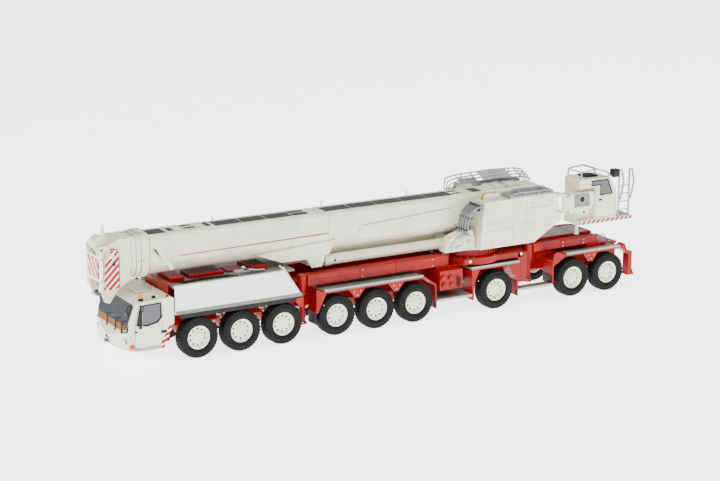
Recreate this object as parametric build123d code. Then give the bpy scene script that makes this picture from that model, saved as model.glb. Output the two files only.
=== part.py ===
from build123d import *
import os
from math import cos, pi, sin, sqrt

# A 1:50 scale model of a nine-axle all-terrain crane with a telescopic boom.
# Millimetres, +X forward (driver's cab end), +Y to the vehicle's left, +Z up.
# Lengths along the vehicle are stations: distances rearwards from axle 1, as on
# a vehicle drawing. at() turns a station into X, with the origin on the ground
# under the middle of the whole crane.

# ---------------------------------------------------------------- overall
FRONT_REACH = 66.0           # boom head ahead of axle 1
REAR_REACH = 376.0           # rear bumper behind axle 1
AXLE_1_X = (REAR_REACH - FRONT_REACH) / 2
GAP = 0.3                    # between faces that move past each other
FIT = 0.05                   # radial play of a pin or shaft in its bore
SEAT = 0.02                  # radial play of a part pressed on another

# ---------------------------------------------------------------- wheels and axles
AXLE_GAPS = (33.0, 33.0, 43.4, 33.0, 33.0, 71.0, 70.8, 33.0)
AXLES = [sum(AXLE_GAPS[:k]) for k in range(len(AXLE_GAPS) + 1)]
STEERED = (1, 2, 3, 8, 9)
TYRE_R = 14.85
TYRE_W = 8.8
WIDTH = 60.0                 # over the tyres
WHEEL_Y = (WIDTH - TYRE_W) / 2
RIM_R = 8.4
RIM_W = 7.2
HUB_R = 3.4
SHAFT_R = 1.5
BEAM_R = 3.2
BEAM_HUB_R = 4.6
KINGPIN_R = 2.0
KINGPIN_LENGTH = 3.4

# ---------------------------------------------------------------- carrier
BODY_HALF = 29.5             # half width over panels and fenders
FRAME_HALF = 11.0
FRAME_Z0 = 20.5
FRAME_Z1 = 38.0
FRAME_FRONT = -15.0
FRAME_REAR = 371.0
HUMP_REAR = 345.0            # where the frame steps down behind the rear deck
BAY_HALF = 14.5              # half width of the engine bay
PLATE = 1.2                  # thickness of fenders, decks and panels
FENDER_INNER = 17.0
WALK_Z = 34.3                # top of the fender walkways
DECK_Z = 51.0                # top of the engine deck
PANEL_Z = 53.5
REAR_DECK_Z = 44.6
TAIL_DECK_Z = 33.0

# ---------------------------------------------------------------- driver's cab
CAB_HALF = 28.6
CAB_WALL = 1.1
CAB_FRONT = -56.0
CAB_REAR = -18.2
CAB_ROOF = 46.5
GLASS = 0.8

# ---------------------------------------------------------------- slewing ring
SLEW_S = 237.5
RING_R = 25.0
RING_TEETH = 60
TOOTH = 0.9
RING_Z0 = 41.0
RING_Z1 = 45.6

# ---------------------------------------------------------------- outriggers
ARM_HALF = 4.0
ARM_PIN_R = 2.4
ARM_WALL = 1.6
TOWER_T = 4.0                # thickness of the plate under an arm's pin
LEG_R = 2.2
SLEEVE_R = 3.6
FOOT_R = 3.4
FOOT_T = 1.2
SLEEVE_Z0 = 31.0
# name: pin station, leg station, pin Y, bottom Z, top Z, underside of the folded foot
ARMS = {
    "front": dict(pin=207.0, leg=87.4, y=17.2, z0=37.0, z1=44.8, foot=9.0),
    "rear": dict(pin=344.5, leg=283.0, y=17.2, z0=37.4, z1=43.0, foot=14.0),
}

# ---------------------------------------------------------------- superstructure
FLOOR_Z0 = 46.6
FLOOR_Z1 = 48.6
CHEEK_Y0 = 12.6              # inner face of the boom's cheek plates
CHEEK_Y1 = 14.2
HOUSE_HALF = 28.2
HOUSE_TOP = 82.8
PIVOT_S = 285.0
PIVOT_Z = 78.0
PIVOT_PIN_R = 3.0

# ---------------------------------------------------------------- boom
BOOM_HALF = 11.0
BOOM_TOP = 86.5
BOOM_CENTRE_Z = 68.0         # centre of the rounded underside
BOOM_CORNER = 3.2
BOOM_WALL = 0.9
NEST = 1.3                   # each section is this much smaller all round
BASE_FRONT = -34.0
BASE_REAR = 297.0
COLLAR = 3.2                 # length of a section's collar
SECTION_TAIL = 276.0
COLLAR_OUT = 1.5             # how far the base's collar stands out

# ---------------------------------------------------------------- lift cylinders
CYL_Y = 8.0
CYL_R = 4.1
ROD_R = 2.4
BASE_PIN_S = 218.0
BASE_PIN_Z = 50.6
EYE_Z = BASE_PIN_Z
EYE_S = 102.0
EYE_R = 3.4
EYE_W = 4.6
GLAND_S = 110.0
LUG_PIN_R = 1.8

# ---------------------------------------------------------------- crane cab
CAB_PIN_S = 307.0
CAB_PIN_Y = 29.4
CAB_PIN_R = 1.5
CCAB_REAR = 322.0
CCAB_FRONT = 358.0
CCAB_Y0 = 8.5
CCAB_Y1 = 28.0
CCAB_Z0 = 58.0
CCAB_Z1 = 90.0
STEP_Z = 55.0                # underside of the crane cab's platform
TILT_S = 325.9
TILT_Z = 75.0
TILT_PIN_R = 2.0
ARM_Y0 = 23.6                # inner face of the swing arm beside the cab
ARM_TOP = 80.4
ARM_REACH = 10.4             # rounded end of the swing arm about the tilt pin
NOTCH_S = 337.0
NOTCH_Z = 83.2


# ================================================================ helpers
def at(station):
    """X of a station."""
    return AXLE_1_X - station


def block(s0, s1, y0, y1, z0, z1):
    """A box between two stations, two sides and two heights."""
    size = (abs(s1 - s0), abs(y1 - y0), abs(z1 - z0))
    middle = (at((s0 + s1) / 2), (y0 + y1) / 2, (z0 + z1) / 2)
    return Pos(*middle) * Box(*size)


def side_plate(outline, y0, y1):
    """An outline of (station, height) points, extruded from y0 to y1."""
    edge = Polyline([(at(s), y0, z) for s, z in outline], close=True)
    return extrude(make_face(edge), amount=abs(y1 - y0), dir=(0, 1 if y1 > y0 else -1, 0))


def plan_plate(outline, z0, z1):
    """An outline of (station, y) points, extruded from z0 up to z1."""
    edge = Polyline([(at(s), y, z0) for s, y in outline], close=True)
    return extrude(make_face(edge), amount=z1 - z0, dir=(0, 0, 1))


def upright(s, y, r, z0, z1):
    """A vertical cylinder."""
    return Pos(at(s), y, (z0 + z1) / 2) * Cylinder(r, z1 - z0)


def crossbar(s, z, r, y0, y1):
    """A cylinder across the vehicle."""
    return Pos(at(s), (y0 + y1) / 2, z) * Rot(90, 0, 0) * Cylinder(r, abs(y1 - y0))


def lengthbar(y, z, r, s0, s1):
    """A cylinder along the vehicle."""
    return Pos(at((s0 + s1) / 2), y, z) * Rot(0, 90, 0) * Cylinder(r, abs(s1 - s0))


def pipe(points, r, bend=1.5):
    """A round bar along (station, y, z) points, with bent corners."""
    route = [(at(s), y, z) for s, y, z in points]
    if len(route) > 2:
        line = FilletPolyline(route, radius=bend)
    else:
        line = Line(*route)
    end = Plane(origin=line @ 0, z_dir=line % 0)
    return sweep(end * Circle(r), path=line)


def turned(profile, s, y, z):
    """A profile of (radius, y) points turned about an axis across the vehicle."""
    edge = Polyline([(r, v) for r, v in profile], close=True)
    ring = revolve(make_face(edge), axis=Axis.Y)
    return Pos(at(s), y, z) * ring


def both_sides(part):
    """The part and its mirror image on the other side of the vehicle."""
    return [part, mirror(part, about=Plane.XZ)]


def fused(*parts):
    """One solid from overlapping or touching parts, or from lists of them."""
    flat = []
    for part in parts:
        flat.extend(part if isinstance(part, (list, tuple)) else [part])
    whole = flat[0]
    for part in flat[1:]:
        whole = whole + part
    return whole


def save(name, *parts):
    """Writes one node's solids to its STEP file."""
    solids = []
    for part in parts:
        for item in (part if isinstance(part, (list, tuple)) else [part]):
            solids.extend(item.solids())
    export_step(Compound(solids), f"parts/{name}.step")


# ================================================================ wheels and axles
def tyre(s):
    """A wide single tyre with a flat tread, round shoulders and bulged walls."""
    half = TYRE_W / 2
    tread = TYRE_R - 0.45
    profile = [
        (RIM_R + SEAT, -RIM_W / 2), (TYRE_R - 3.2, -half), (tread, -half + 0.35),
        (TYRE_R, -half + 1.0), (TYRE_R, half - 1.0), (tread, half - 0.35),
        (TYRE_R - 3.2, half), (RIM_R + SEAT, RIM_W / 2),
    ]
    return turned(profile, s, WHEEL_Y, TYRE_R)


def rim_outline():
    """The dished disc and hub of the left wheel, from hub cap to shaft: (radius, y)."""
    lip = RIM_W / 2
    return [
        (0.0, WHEEL_Y + lip + 0.3), (HUB_R - 0.7, WHEEL_Y + lip + 0.3), (HUB_R, WHEEL_Y + lip - 0.4),
        (HUB_R, WHEEL_Y + 1.9), (RIM_R - 1.9, WHEEL_Y + 1.3), (RIM_R - 1.0, WHEEL_Y + 2.4),
        (RIM_R - 0.6, WHEEL_Y + lip), (RIM_R, WHEEL_Y + lip), (RIM_R, WHEEL_Y - lip),
        (RIM_R - 0.8, WHEEL_Y - lip), (RIM_R - 1.4, WHEEL_Y), (SHAFT_R, WHEEL_Y),
    ]


def rims(s):
    """Both rims of an axle on their steel shaft."""
    left = rim_outline()
    right = [(r, -y) for r, y in reversed(left)]
    return turned(left + right, s, 0, TYRE_R)


def axle_beam(s, pivoted):
    """An axle tube with its hubs and differential, bored for the shaft."""
    hub_end = WHEEL_Y - TYRE_W / 2 - 0.5
    top = FRAME_Z0 - (GAP if pivoted else 0)
    beam = crossbar(s, TYRE_R, BEAM_R, -hub_end, hub_end)
    hubs = both_sides(crossbar(s, TYRE_R, BEAM_HUB_R, hub_end - 3.0, hub_end))
    r = FRAME_Z0 - TYRE_R - 0.5
    bowl = turned([(0, -6.5), (0.6 * r, -6.0), (r, -3.0), (r, 3.0), (0.6 * r, 6.0), (0, 6.5)], s, 0, TYRE_R)
    saddle = block(s - 5.5, s + 5.5, -6, 6, TYRE_R, top)
    beam = fused(beam, hubs, bowl, saddle)
    beam -= crossbar(s, TYRE_R, SHAFT_R + FIT, -hub_end - 1, hub_end + 1)
    if pivoted:
        beam -= upright(s, 0, KINGPIN_R + FIT, FRAME_Z0 - KINGPIN_LENGTH - FIT, FRAME_Z0)
    return beam


def wheels_and_axles():
    for number, s in enumerate(AXLES, 1):
        save(f"tyres_{number}", both_sides(tyre(s)))
        save(f"rims_{number}", rims(s))
        if number in STEERED:
            save(f"axle_beam_{number}", axle_beam(s, True))
    fixed = [axle_beam(s, False) for number, s in enumerate(AXLES, 1) if number not in STEERED]
    save("axle_beams_fixed", fixed)


# ================================================================ chassis
def pivot_tower(arm):
    """The bracket and pin that carry one left outrigger arm."""
    s, y = arm["pin"], arm["y"]
    reach = ARM_HALF + 1.5
    lower = block(s - 9, s + 9, FRAME_HALF - 1, y + ARM_HALF, arm["z0"] - GAP - TOWER_T, arm["z0"] - GAP)
    post = block(s - reach, s + reach, FRAME_HALF - 1, y - ARM_HALF - GAP - 0.1,
                 arm["z0"] - 3, arm["z1"] - ARM_WALL)
    pin = upright(s, y, ARM_PIN_R, arm["z0"] - GAP - 1, arm["z1"] - ARM_WALL - GAP)
    return fused(lower, post, pin)


def chassis_frame():
    """The welded box frame with ring table, towers and tow rails."""
    frame = block(FRAME_FRONT, HUMP_REAR, -FRAME_HALF, FRAME_HALF, FRAME_Z0, FRAME_Z1)
    engine_bay = block(CAB_REAR + GAP, 79, -BAY_HALF, BAY_HALF, FRAME_Z1 - 12, DECK_Z - PLATE)
    ring_table = upright(SLEW_S, 0, RING_R + 3.5, FRAME_Z1 - 2, RING_Z0)
    table_box = block(214, 262, -FENDER_INNER, FENDER_INNER, 2 * TYRE_R + 0.8, FRAME_Z1)
    front_box = both_sides(block(197, 217, FRAME_HALF - 1, BODY_HALF - 1.5, FRAME_Z0, 35.0))
    gap_box = both_sides(block(267.5, 276, FRAME_HALF - 1, BODY_HALF - 3, 17.0, 40.0))
    rear_hump = block(SLEW_S + RING_R + 1.5, HUMP_REAR, -12.0, 12.0, FRAME_Z1 - 1, REAR_DECK_Z - PLATE)
    tail = block(HUMP_REAR - 1, FRAME_REAR, -FRAME_HALF, FRAME_HALF, FRAME_Z0, TAIL_DECK_Z - PLATE)
    tow_rails = both_sides(block(-47, FRAME_FRONT + 2, 4.0, 7.5, 8.4, 11.2))
    rail_drop = block(FRAME_FRONT - 1.5, FRAME_FRONT + 3, -7.5, 7.5, 8.4, FRAME_Z0 + 4)
    kingpins = [upright(AXLES[n - 1], 0, KINGPIN_R, FRAME_Z0 - KINGPIN_LENGTH, FRAME_Z0 + 1)
                for n in STEERED]
    towers = [both_sides(pivot_tower(arm)) for arm in ARMS.values()]
    frame = fused(frame, engine_bay, ring_table, table_box, front_box, gap_box, rear_hump, tail,
                  tow_rails, rail_drop, kingpins, *towers)
    return frame


def slewing_ring():
    """The bearing race with its outer gear teeth."""
    r0 = RING_R - TOOTH
    race = upright(SLEW_S, 0, r0, RING_Z0, RING_Z1)
    pitch = 2 * pi / RING_TEETH
    tooth_plan = [(r0 - 0.3, -0.28), (RING_R, -0.13), (RING_R, 0.13), (r0 - 0.3, 0.28)]
    teeth = []
    for k in range(RING_TEETH):
        turn = k * pitch
        outline = []
        for r, share in tooth_plan:
            angle = turn + share * pitch
            outline.append((SLEW_S + r * cos(angle), r * sin(angle)))
        teeth.append(plan_plate(outline, RING_Z0, RING_Z1 - 0.8))
    ring = race.fuse(*teeth)
    return ring - upright(SLEW_S, 0, RING_R - 7, RING_Z0 - 1, RING_Z1 + 1)


# ================================================================ fenders and decks
def sloped(s0, z0, s1, z1, y0, y1, t=PLATE):
    """A plate of even thickness under the line from one (station, z) to another."""
    run = sqrt((s1 - s0) ** 2 + (z1 - z0) ** 2)
    ns, nz = (z1 - z0) / run * t, -(s1 - s0) / run * t
    return side_plate([(s0, z0), (s1, z1), (s1 + ns, z1 + nz), (s0 + ns, z0 + nz)], y0, y1)


def hanger(s, top, bottom, wide, narrow):
    """A triangular plate that hangs between two wheels, with its bracket."""
    outline = [(s - wide, top), (s + wide, top), (s + narrow, bottom), (s - narrow, bottom)]
    return side_plate(outline, BODY_HALF - PLATE, BODY_HALF)


def fenders_left():
    """The wheel covers of the left side: front skirt, middle, single and rear groups."""
    inner, outer = FRAME_HALF, BODY_HALF
    low = WALK_Z - PLATE
    under = low - PLATE
    front = [
        block(-13.5, 81.8, BAY_HALF, outer - PLATE, 31.0, 32.4),
        side_plate([(80.4, 31.5), (80.4, 25.0), (81.8, 25.0), (81.8, 31.5)], FENDER_INNER + 3, outer),
        side_plate([(73.4, 32.4), (81.8, 32.4), (81.8, 25.0), (80.6, 25.0)], outer - PLATE, outer),
        block(-13.5, 75.0, outer - PLATE, outer, 31.0, 32.4),
    ]
    for s in (AXLES[0] + AXLE_GAPS[0] / 2, AXLES[1] + AXLE_GAPS[1] / 2):
        front.append(hanger(s, 31.5, 27.2, 5.0, 1.2))
    middle = [
        sloped(99.8, under, 92.6, 18.6, FENDER_INNER, outer),
        side_plate([(92.4, 36.2), (99.0, low), (100.2, under), (93.8, 18.6), (92.4, 18.6)], outer - PLATE, outer),
        sloped(192.8, 25.0, 181.7, low, FENDER_INNER, outer),
        side_plate([(192.0, 26.2), (193.2, 26.2), (193.2, 8.6), (192.0, 8.6)], FENDER_INNER, outer),
        block(99.4, 181.9, inner, outer - PLATE, under, low),
    ]
    for s in (AXLES[3] + AXLE_GAPS[3] / 2, AXLES[4] + AXLE_GAPS[4] / 2):
        middle.append(hanger(s, low, 25.9, 7.0, 1.4))
    single = [
        side_plate([(224.1, low), (225.3, 9.5), (226.5, 9.5), (226.5, 22.0), (231.5, low)], FENDER_INNER, outer),
        side_plate([(256.6, low), (264.6, 20.0), (264.6, 8.0), (265.8, 8.0), (266.9, low)], FENDER_INNER, outer),
        block(224.1, 266.9, FENDER_INNER, outer - PLATE, under, low),
    ]
    rear = [
        side_plate([(297.6, 29.6), (297.6, 12.0), (298.8, 12.0), (298.8, 26.0), (310.9, low), (302.5, 36.8),
                    (299.0, 35.4)], outer - PLATE, outer),
        side_plate([(297.6, 30.2), (297.6, 12.0), (298.8, 12.0), (298.8, 30.2)], FENDER_INNER, outer - PLATE),
        sloped(310.9, low, 297.6, 29.6, FENDER_INNER, outer - PLATE),
        sloped(370.4, 27.5, 361.6, low, FENDER_INNER, outer),
        side_plate([(361.7, 33.3), (366.3, 35.6), (368.5, 30.1), (373.5, 28.7), (373.5, 11.0), (370.0, 11.0),
                    (370.0, 26.5)], outer - 7.0, outer),
        block(369.4, REAR_REACH, outer - 7.0, outer, 9.6, 11.0),
        block(310.9, 361.9, inner, outer - PLATE, under, low),
    ]
    rear.append(hanger(AXLES[7] + AXLE_GAPS[7] / 2, low, 25.6, 7.2, 1.7))
    return [fused(front), fused(middle), fused(single), fused(rear)]


def walkways():
    """Grey deck plates: fender tops, side steps, engine deck and rear deck."""
    low = WALK_Z - PLATE
    inner_edge = ARMS["rear"]["y"] + ARM_HALF + GAP
    leg_side = ARMS["rear"]["y"] + FOOT_R + 1.0
    left = [
        block(99.2, 181.7, FRAME_HALF, BODY_HALF, low, WALK_Z),
        block(224.1, 266.9, FENDER_INNER, BODY_HALF, low, WALK_Z),
        block(310.9, 361.6, inner_edge, BODY_HALF, low, WALK_Z),
        fused(block(194.0, 224.6, 12.0, BODY_HALF, 13.0, 14.4), block(199.0, 215.0, 12.0, 13.2, 14.0, FRAME_Z0)),
        block(266.05, 297.55, leg_side, BODY_HALF, 11.4, 12.8),
    ]
    half = BODY_HALF - PLATE - 0.1
    deck_plan = [(-15.5, half), (65.4, half), (65.4, 20.6), (79.5, 20.6)]
    deck_plan += [(s, -y) for s, y in reversed(deck_plan)]
    engine_deck = plan_plate(deck_plan, DECK_Z - PLATE, DECK_Z)
    rear_deck = block(SLEW_S + RING_R + 3.0, HUMP_REAR, -12.5, 12.5, REAR_DECK_Z - PLATE, REAR_DECK_Z)
    tail_deck = block(HUMP_REAR + 0.2, 372.0, -FRAME_HALF, FRAME_HALF, TAIL_DECK_Z - PLATE, TAIL_DECK_Z)
    parts = []
    for part in left:
        parts.extend(both_sides(part))
    return parts + [engine_deck, rear_deck, tail_deck]


def side_panels():
    """The white engine covers with their grey ledge and the ladders behind them."""
    top, foot = PANEL_Z, 35.8
    slope_top, slope_foot = 66.8, 78.6
    panel = side_plate([(CAB_REAR + 0.8, top), (slope_top, top), (slope_foot, foot), (CAB_REAR + 0.8, foot)],
                       BODY_HALF - PLATE, BODY_HALF)
    ledge = block(CAB_REAR + 0.8, 80.5, BODY_HALF - 3.0, BODY_HALF + 0.4, 33.6, foot)
    lip = block(CAB_REAR + 0.8, slope_top, BODY_HALF - 2.6, BODY_HALF - PLATE, top - PLATE, top)
    floor = block(CAB_REAR + 0.8, 80.5, BAY_HALF, BODY_HALF - 2.0, 33.6, 34.8)
    cover = fused(panel, ledge, lip, floor)
    lean = (slope_foot - slope_top) / (top - foot)
    stiles = []
    for inset in (1.6, 6.6):
        y = BODY_HALF - inset
        stiles.append(pipe([(slope_top + 1.2 - 2.5 * lean, y, top + 2.5),
                            (slope_foot + 1.4, y, foot - 0.4)], 0.45))
    rungs = []
    for k in range(5):
        z = foot + 2.0 + k * 3.9
        s = slope_foot + 1.2 - (z - foot) * lean
        rungs.append(crossbar(s, z, 0.35, BODY_HALF - 6.6, BODY_HALF - 1.6))
    ladder = fused(stiles, rungs)
    left = fused(cover, ladder)
    return both_sides(left)


def deck_fittings():
    """Exhaust, air intake and grab arches that stand on the decks."""
    exhaust = fused(lengthbar(16, DECK_Z + 2.2, 2.0, 34, 46), block(36, 44, 14.2, 17.8, DECK_Z, DECK_Z + 1.2))
    intake = upright(22, -18, 2.4, DECK_Z, DECK_Z + 3.6)
    base = TAIL_DECK_Z + 0.15
    arches = [
        pipe([(348.0, 0, base), (350.5, 0, 40.5), (355.0, 0, 40.5), (358.0, 0, base)], 0.4, 1.6),
        pipe([(356.0, 6, base), (358.5, 6, 38.2), (363.0, 6, 38.2), (367.0, 6, base)], 0.4, 1.6),
    ]
    return [exhaust, intake] + arches


# ================================================================ driver's cab
def cab_form(inset):
    """The cab's closed outer form, shrunk by inset: side profile cut to the plan."""
    side = [(-48.8, 11.6), (-55.2, 12.2), (CAB_FRONT, 19.0), (-53.2, 24.8), (-46.4, 44.2), (-43.6, 45.4),
            (CAB_REAR - 1.2, CAB_ROOF), (CAB_REAR, CAB_ROOF - 1.0), (CAB_REAR, 28.2), (-26.0, 11.2)]
    plan = [(CAB_REAR, CAB_HALF), (-45.0, CAB_HALF), (-49.4, CAB_HALF - 1.4), (-52.6, CAB_HALF - 5.0),
            (-54.8, 13.0), (CAB_FRONT, 0.0)]
    plan += [(s, -y) for s, y in reversed(plan[:-1])]
    side_edge = Polyline([(at(s), z) for s, z in side], close=True)
    plan_edge = Polyline([(at(s), y) for s, y in plan], close=True)
    side_face, plan_face = make_face(side_edge), make_face(plan_edge)
    if inset:
        side_face = offset(side_face, -inset, kind=Kind.INTERSECTION)
        plan_face = offset(plan_face, -inset, kind=Kind.INTERSECTION)
    along = extrude(Plane.XZ * side_face, amount=CAB_HALF + 1, both=True)
    down = extrude(plan_face, amount=CAB_ROOF + 5)
    return along & down


def cab_windows(shrink):
    """Cutters through windscreen and side windows, drawn in by shrink."""
    screen_z0, screen_z1 = 26.2 + shrink, 43.0 - shrink
    screen = block(-60, -42.2, -25.6 + shrink, 25.6 - shrink, screen_z0, screen_z1)
    door = [(-42.8, 43.2), (-28.0, 43.6), (-27.6, 33.6), (-30.4, 30.4), (-38.0, 28.8), (-45.6, 29.8)]
    door_edge = Polyline([(at(s), z) for s, z in door], close=True)
    door_face = make_face(door_edge)
    if shrink:
        door_face = offset(door_face, -shrink, kind=Kind.INTERSECTION)
    sides = extrude(Plane.XZ * door_face, amount=CAB_HALF + 2, both=True)
    middle = block(-60, -10, -20, 20, 0, 60)
    return [screen, sides - middle]


def carrier_cab():
    outer = cab_form(0)
    inner = cab_form(CAB_WALL)
    shell = outer - inner
    for cutter in cab_windows(0):
        shell = shell - cutter
    handles = []
    for side in (1, -1):
        y = side * CAB_HALF
        handles.append(block(-27.5, -24.3, y, y + side * 0.35, 22.4, 23.8))
    save("carrier_cab_shell", fused(shell, handles))
    pane = cab_form(0.15) - cab_form(0.15 + GLASS)
    panes = [pane & cutter for cutter in cab_windows(0.06)]
    save("carrier_cab_glass", panes)

    floor_top = 13.2
    seat_plan = [(-33.5, 14.0), (-33.5, -14.0), (-24.5, 14.0)]
    pieces = [block(-49.5, -27.0, -26.5, 26.5, 12.75, floor_top + 0.6)]
    for s, y in seat_plan:
        pieces.append(block(s - 4.2, s + 4.0, y - 4.2, y + 4.2, floor_top, 22.0))
        pieces.append(side_plate([(s + 2.4, 21.5), (s + 4.0, 21.5), (s + 5.0, 33.0), (s + 3.6, 33.0)],
                                 y - 3.9, y + 3.9))
    dash = side_plate([(-52.6, 21.0), (-50.8, 25.0), (-45.2, 25.6), (-43.8, 21.0), (-46.0, floor_top),
                       (-49.4, floor_top)], -24.0, 24.0)
    column = pipe([(-45.0, 14.0, 22.0), (-41.6, 14.0, 27.6)], 0.6)
    wheel_plane = Plane(origin=(at(-41.6), 14.0, 27.6), z_dir=(-0.62, 0, 0.78))
    wheel = wheel_plane * Torus(3.4, 0.45)
    spokes = wheel_plane * Box(6.6, 0.8, 0.5)
    interior = fused(pieces, dash, column, wheel, spokes) & cab_form(CAB_WALL + 0.1)
    save("carrier_cab_interior", interior)


def carrier_lamps():
    """Beacon, headlamps, side markers and tail lamps."""
    roof = CAB_ROOF - 0.6
    cab = cab_form(0)
    lamps = []
    for side in (1, -1):
        y = side * 23.5
        stalk = upright(-40.4, y, 0.8, roof, roof + 2.0)
        dome = upright(-40.4, y, 1.6, roof + 1.6, roof + 4.2)
        lamps.append(fused(stalk, dome) - cab)
        lamps.append(block(-53.9, -51.4, side * 20.6, side * 25.4, 15.6, 19.2) - cab)
        lamps.append(block(-50.9, -48.0, side * 26.6, side * 28.9, 13.8, 16.4) - cab)
        for s in (AXLES[0] + 15.4, AXLES[1] + 16.2):
            lamps.append(block(s - 1.0, s + 1.0, side * BODY_HALF, side * (BODY_HALF + 0.5), 28.6, 29.8))
        lamps.append(block(373.5, 374.2, side * 23.5, side * 28.9, 21.5, 27.5))
    return lamps


def carrier_mirrors():
    """Door mirrors on their arms, and the tow coupling's hook in the bumper."""
    left = fused(
        block(-46.6, -43.4, CAB_HALF + 1.9, CAB_HALF + 3.3, 30.6, 41.2),
        pipe([(-45.0, CAB_HALF + SEAT, 42.8), (-45.0, CAB_HALF + 2.6, 42.8), (-45.0, CAB_HALF + 2.6, 28.4),
              (-45.0, CAB_HALF + SEAT, 28.4)], 0.4, 1.0),
    )
    return both_sides(left)


# ================================================================ outriggers
def outrigger_arm(arm):
    """A left arm: box beam with a rounded pin end and a sleeve for its leg."""
    s0, s1, y = arm["leg"], arm["pin"], arm["y"]
    z0, z1 = arm["z0"], arm["z1"]
    beam = block(s0 + SLEEVE_R - 1, s1, y - ARM_HALF, y + ARM_HALF, z0, z1)
    knuckle = upright(s1, y, ARM_HALF, z0, z1)
    rib = block(s0 + 12, s1 - 16, y + ARM_HALF - 0.5, y + ARM_HALF + 0.5, z0 + 2.2, z0 + 3.4)
    sleeve = upright(s0, y, SLEEVE_R, SLEEVE_Z0, z1)
    beam = fused(beam, knuckle, rib, sleeve)
    beam -= upright(s1, y, ARM_PIN_R + FIT, z0 - 1, z1 - ARM_WALL)
    beam -= upright(s0, y, LEG_R + FIT, SLEEVE_Z0 - 1, z1 - ARM_WALL)
    return beam


def outrigger_leg(arm):
    """The sliding leg of a left arm with its round foot."""
    s, y = arm["leg"], arm["y"]
    leg = upright(s, y, LEG_R, arm["foot"], arm["z1"] - ARM_WALL - GAP)
    foot = upright(s, y, FOOT_R, arm["foot"], arm["foot"] + FOOT_T)
    return fused(leg, foot)


def outriggers():
    for name, arm in ARMS.items():
        for side, part in zip(("left", "right"), both_sides(outrigger_arm(arm))):
            save(f"outrigger_arm_{name}_{side}", part)
        for side, part in zip(("left", "right"), both_sides(outrigger_leg(arm))):
            save(f"outrigger_leg_{name}_{side}", part)


# ================================================================ superstructure
def house_outline():
    """The side plate of the superstructure: (station, height)."""
    return [(235.5, HOUSE_TOP), (231.9, FLOOR_Z0 + 0.6), (279.9, FLOOR_Z0 + 0.6), (305.4, 62.4),
            (299.8, HOUSE_TOP)]


def turntable_frame():
    """Floor over the ring, boom cheeks with the pivot pins, and the cylinder foot."""
    floor = block(208.0, 283.0, -CHEEK_Y1, CHEEK_Y1, FLOOR_Z0, FLOOR_Z1)
    table = upright(SLEW_S, 0, RING_R - 2.0, RING_Z1 + GAP, FLOOR_Z0 + 0.5)
    cheek_outline = [(233.0, FLOOR_Z0), (233.0, 66.0), (262.0, HOUSE_TOP), (298.5, HOUSE_TOP + 2.0),
                     (298.5, 70.0), (283.0, FLOOR_Z0)]
    cheek = side_plate(cheek_outline, CHEEK_Y0, CHEEK_Y1)
    pin = crossbar(PIVOT_S, PIVOT_Z, PIVOT_PIN_R, BOOM_HALF - 2.6, CHEEK_Y0 + 0.5)
    cheeks = both_sides(fused(cheek, pin))
    foot_outline = [(205.6, FLOOR_Z0), (205.6, 51.5), (210.5, 57.0), (222.0, 60.6), (229.4, 60.6),
                    (231.6, 54.0), (231.6, FLOOR_Z0)]
    outer_foot = both_sides(side_plate(foot_outline, CHEEK_Y0, 21.5))
    web_outline = [(213.0, FLOOR_Z0), (213.5, 53.0), (218.0, 55.0), (222.5, 53.0), (226.0, FLOOR_Z0)]
    web = side_plate(web_outline, -CYL_Y + EYE_W / 2 + GAP, CYL_Y - EYE_W / 2 - GAP)
    pins = crossbar(BASE_PIN_S, BASE_PIN_Z, LUG_PIN_R, -CHEEK_Y0 - 1, CHEEK_Y0 + 1)
    slots = both_sides(block(200.0, BASE_PIN_S + EYE_R + 1.0, CYL_Y - CYL_R - 0.3, CHEEK_Y0, 40.0, FLOOR_Z1 + 1))
    base = fused(floor, table)
    for slot in slots:
        base -= slot
    return fused(base, cheeks, outer_foot, web, pins)


def side_housings():
    """Left and right machinery housings with their outer panels and lids."""
    body = side_plate(house_outline(), CHEEK_Y1, HOUSE_HALF - PLATE)
    skin = [(s + (0.0 if s < 250 else 0.6), z) for s, z in house_outline()]
    panel = side_plate(skin, HOUSE_HALF - PLATE, HOUSE_HALF)
    seams = [block(s, s + 0.35, HOUSE_HALF - 0.4, HOUSE_HALF + 1, FLOOR_Z0, HOUSE_TOP + 1)
             for s in (261.0, 273.4)]
    housing = fused(body, panel)
    for seam in seams:
        housing = housing - seam
    return both_sides(housing)


def platform_railings():
    """Grey platforms on the housings, with their folded railings."""
    parts = []
    for side in (1, -1):
        y0, y1 = side * (CHEEK_Y1 + 0.6), side * HOUSE_HALF
        top = HOUSE_TOP + PLATE
        deck = block(258.0, 299.0, y0, y1, HOUSE_TOP, top)
        frames = []
        for k, y in enumerate((y0 + side * 2.0, (y0 + y1) / 2, y1 - side * 0.8)):
            z = top + 0.4 + 1.4 * (k % 2)
            frames.append(lengthbar(y, z, 0.5, 258.6, 298.0))
        for s in (259.5, 272.0, 284.5, 297.0):
            frames.append(block(s - 0.5, s + 0.5, y0 + side * 1.5, y1 - side * 0.3, top, top + 1.9))
        parts.append(fused(deck, frames))
    return parts


def winches():
    """Two rope guide blocks on the housings' front corners."""
    parts = []
    for side in (1, -1):
        y = side * 19.0
        saddle = block(237.0, 256.0, y - 2.6, y + 2.6, HOUSE_TOP, HOUSE_TOP + 2.2)
        drums = [crossbar(s, HOUSE_TOP + 2.4, 2.1, y - 3.4, y + 3.4) for s in (241.0, 251.0)]
        parts.append(fused(saddle, drums))
    return parts


def hose_bundle():
    """Hydraulic hoses that climb from the cylinder foot past the boom's flank."""
    hoses = []
    for k in range(4):
        y = 15.2 + 1.5 * k
        start = 226.6 - 1.8 * (k % 2)
        hoses.append(pipe([(start, y, 60.7), (start + 0.6, y, 66.0), (start + 3.0, y, 79.2),
                           (234.9, y, 79.2)], 0.85, 2.4))
    left = fused(hoses)
    return both_sides(left)


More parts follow.
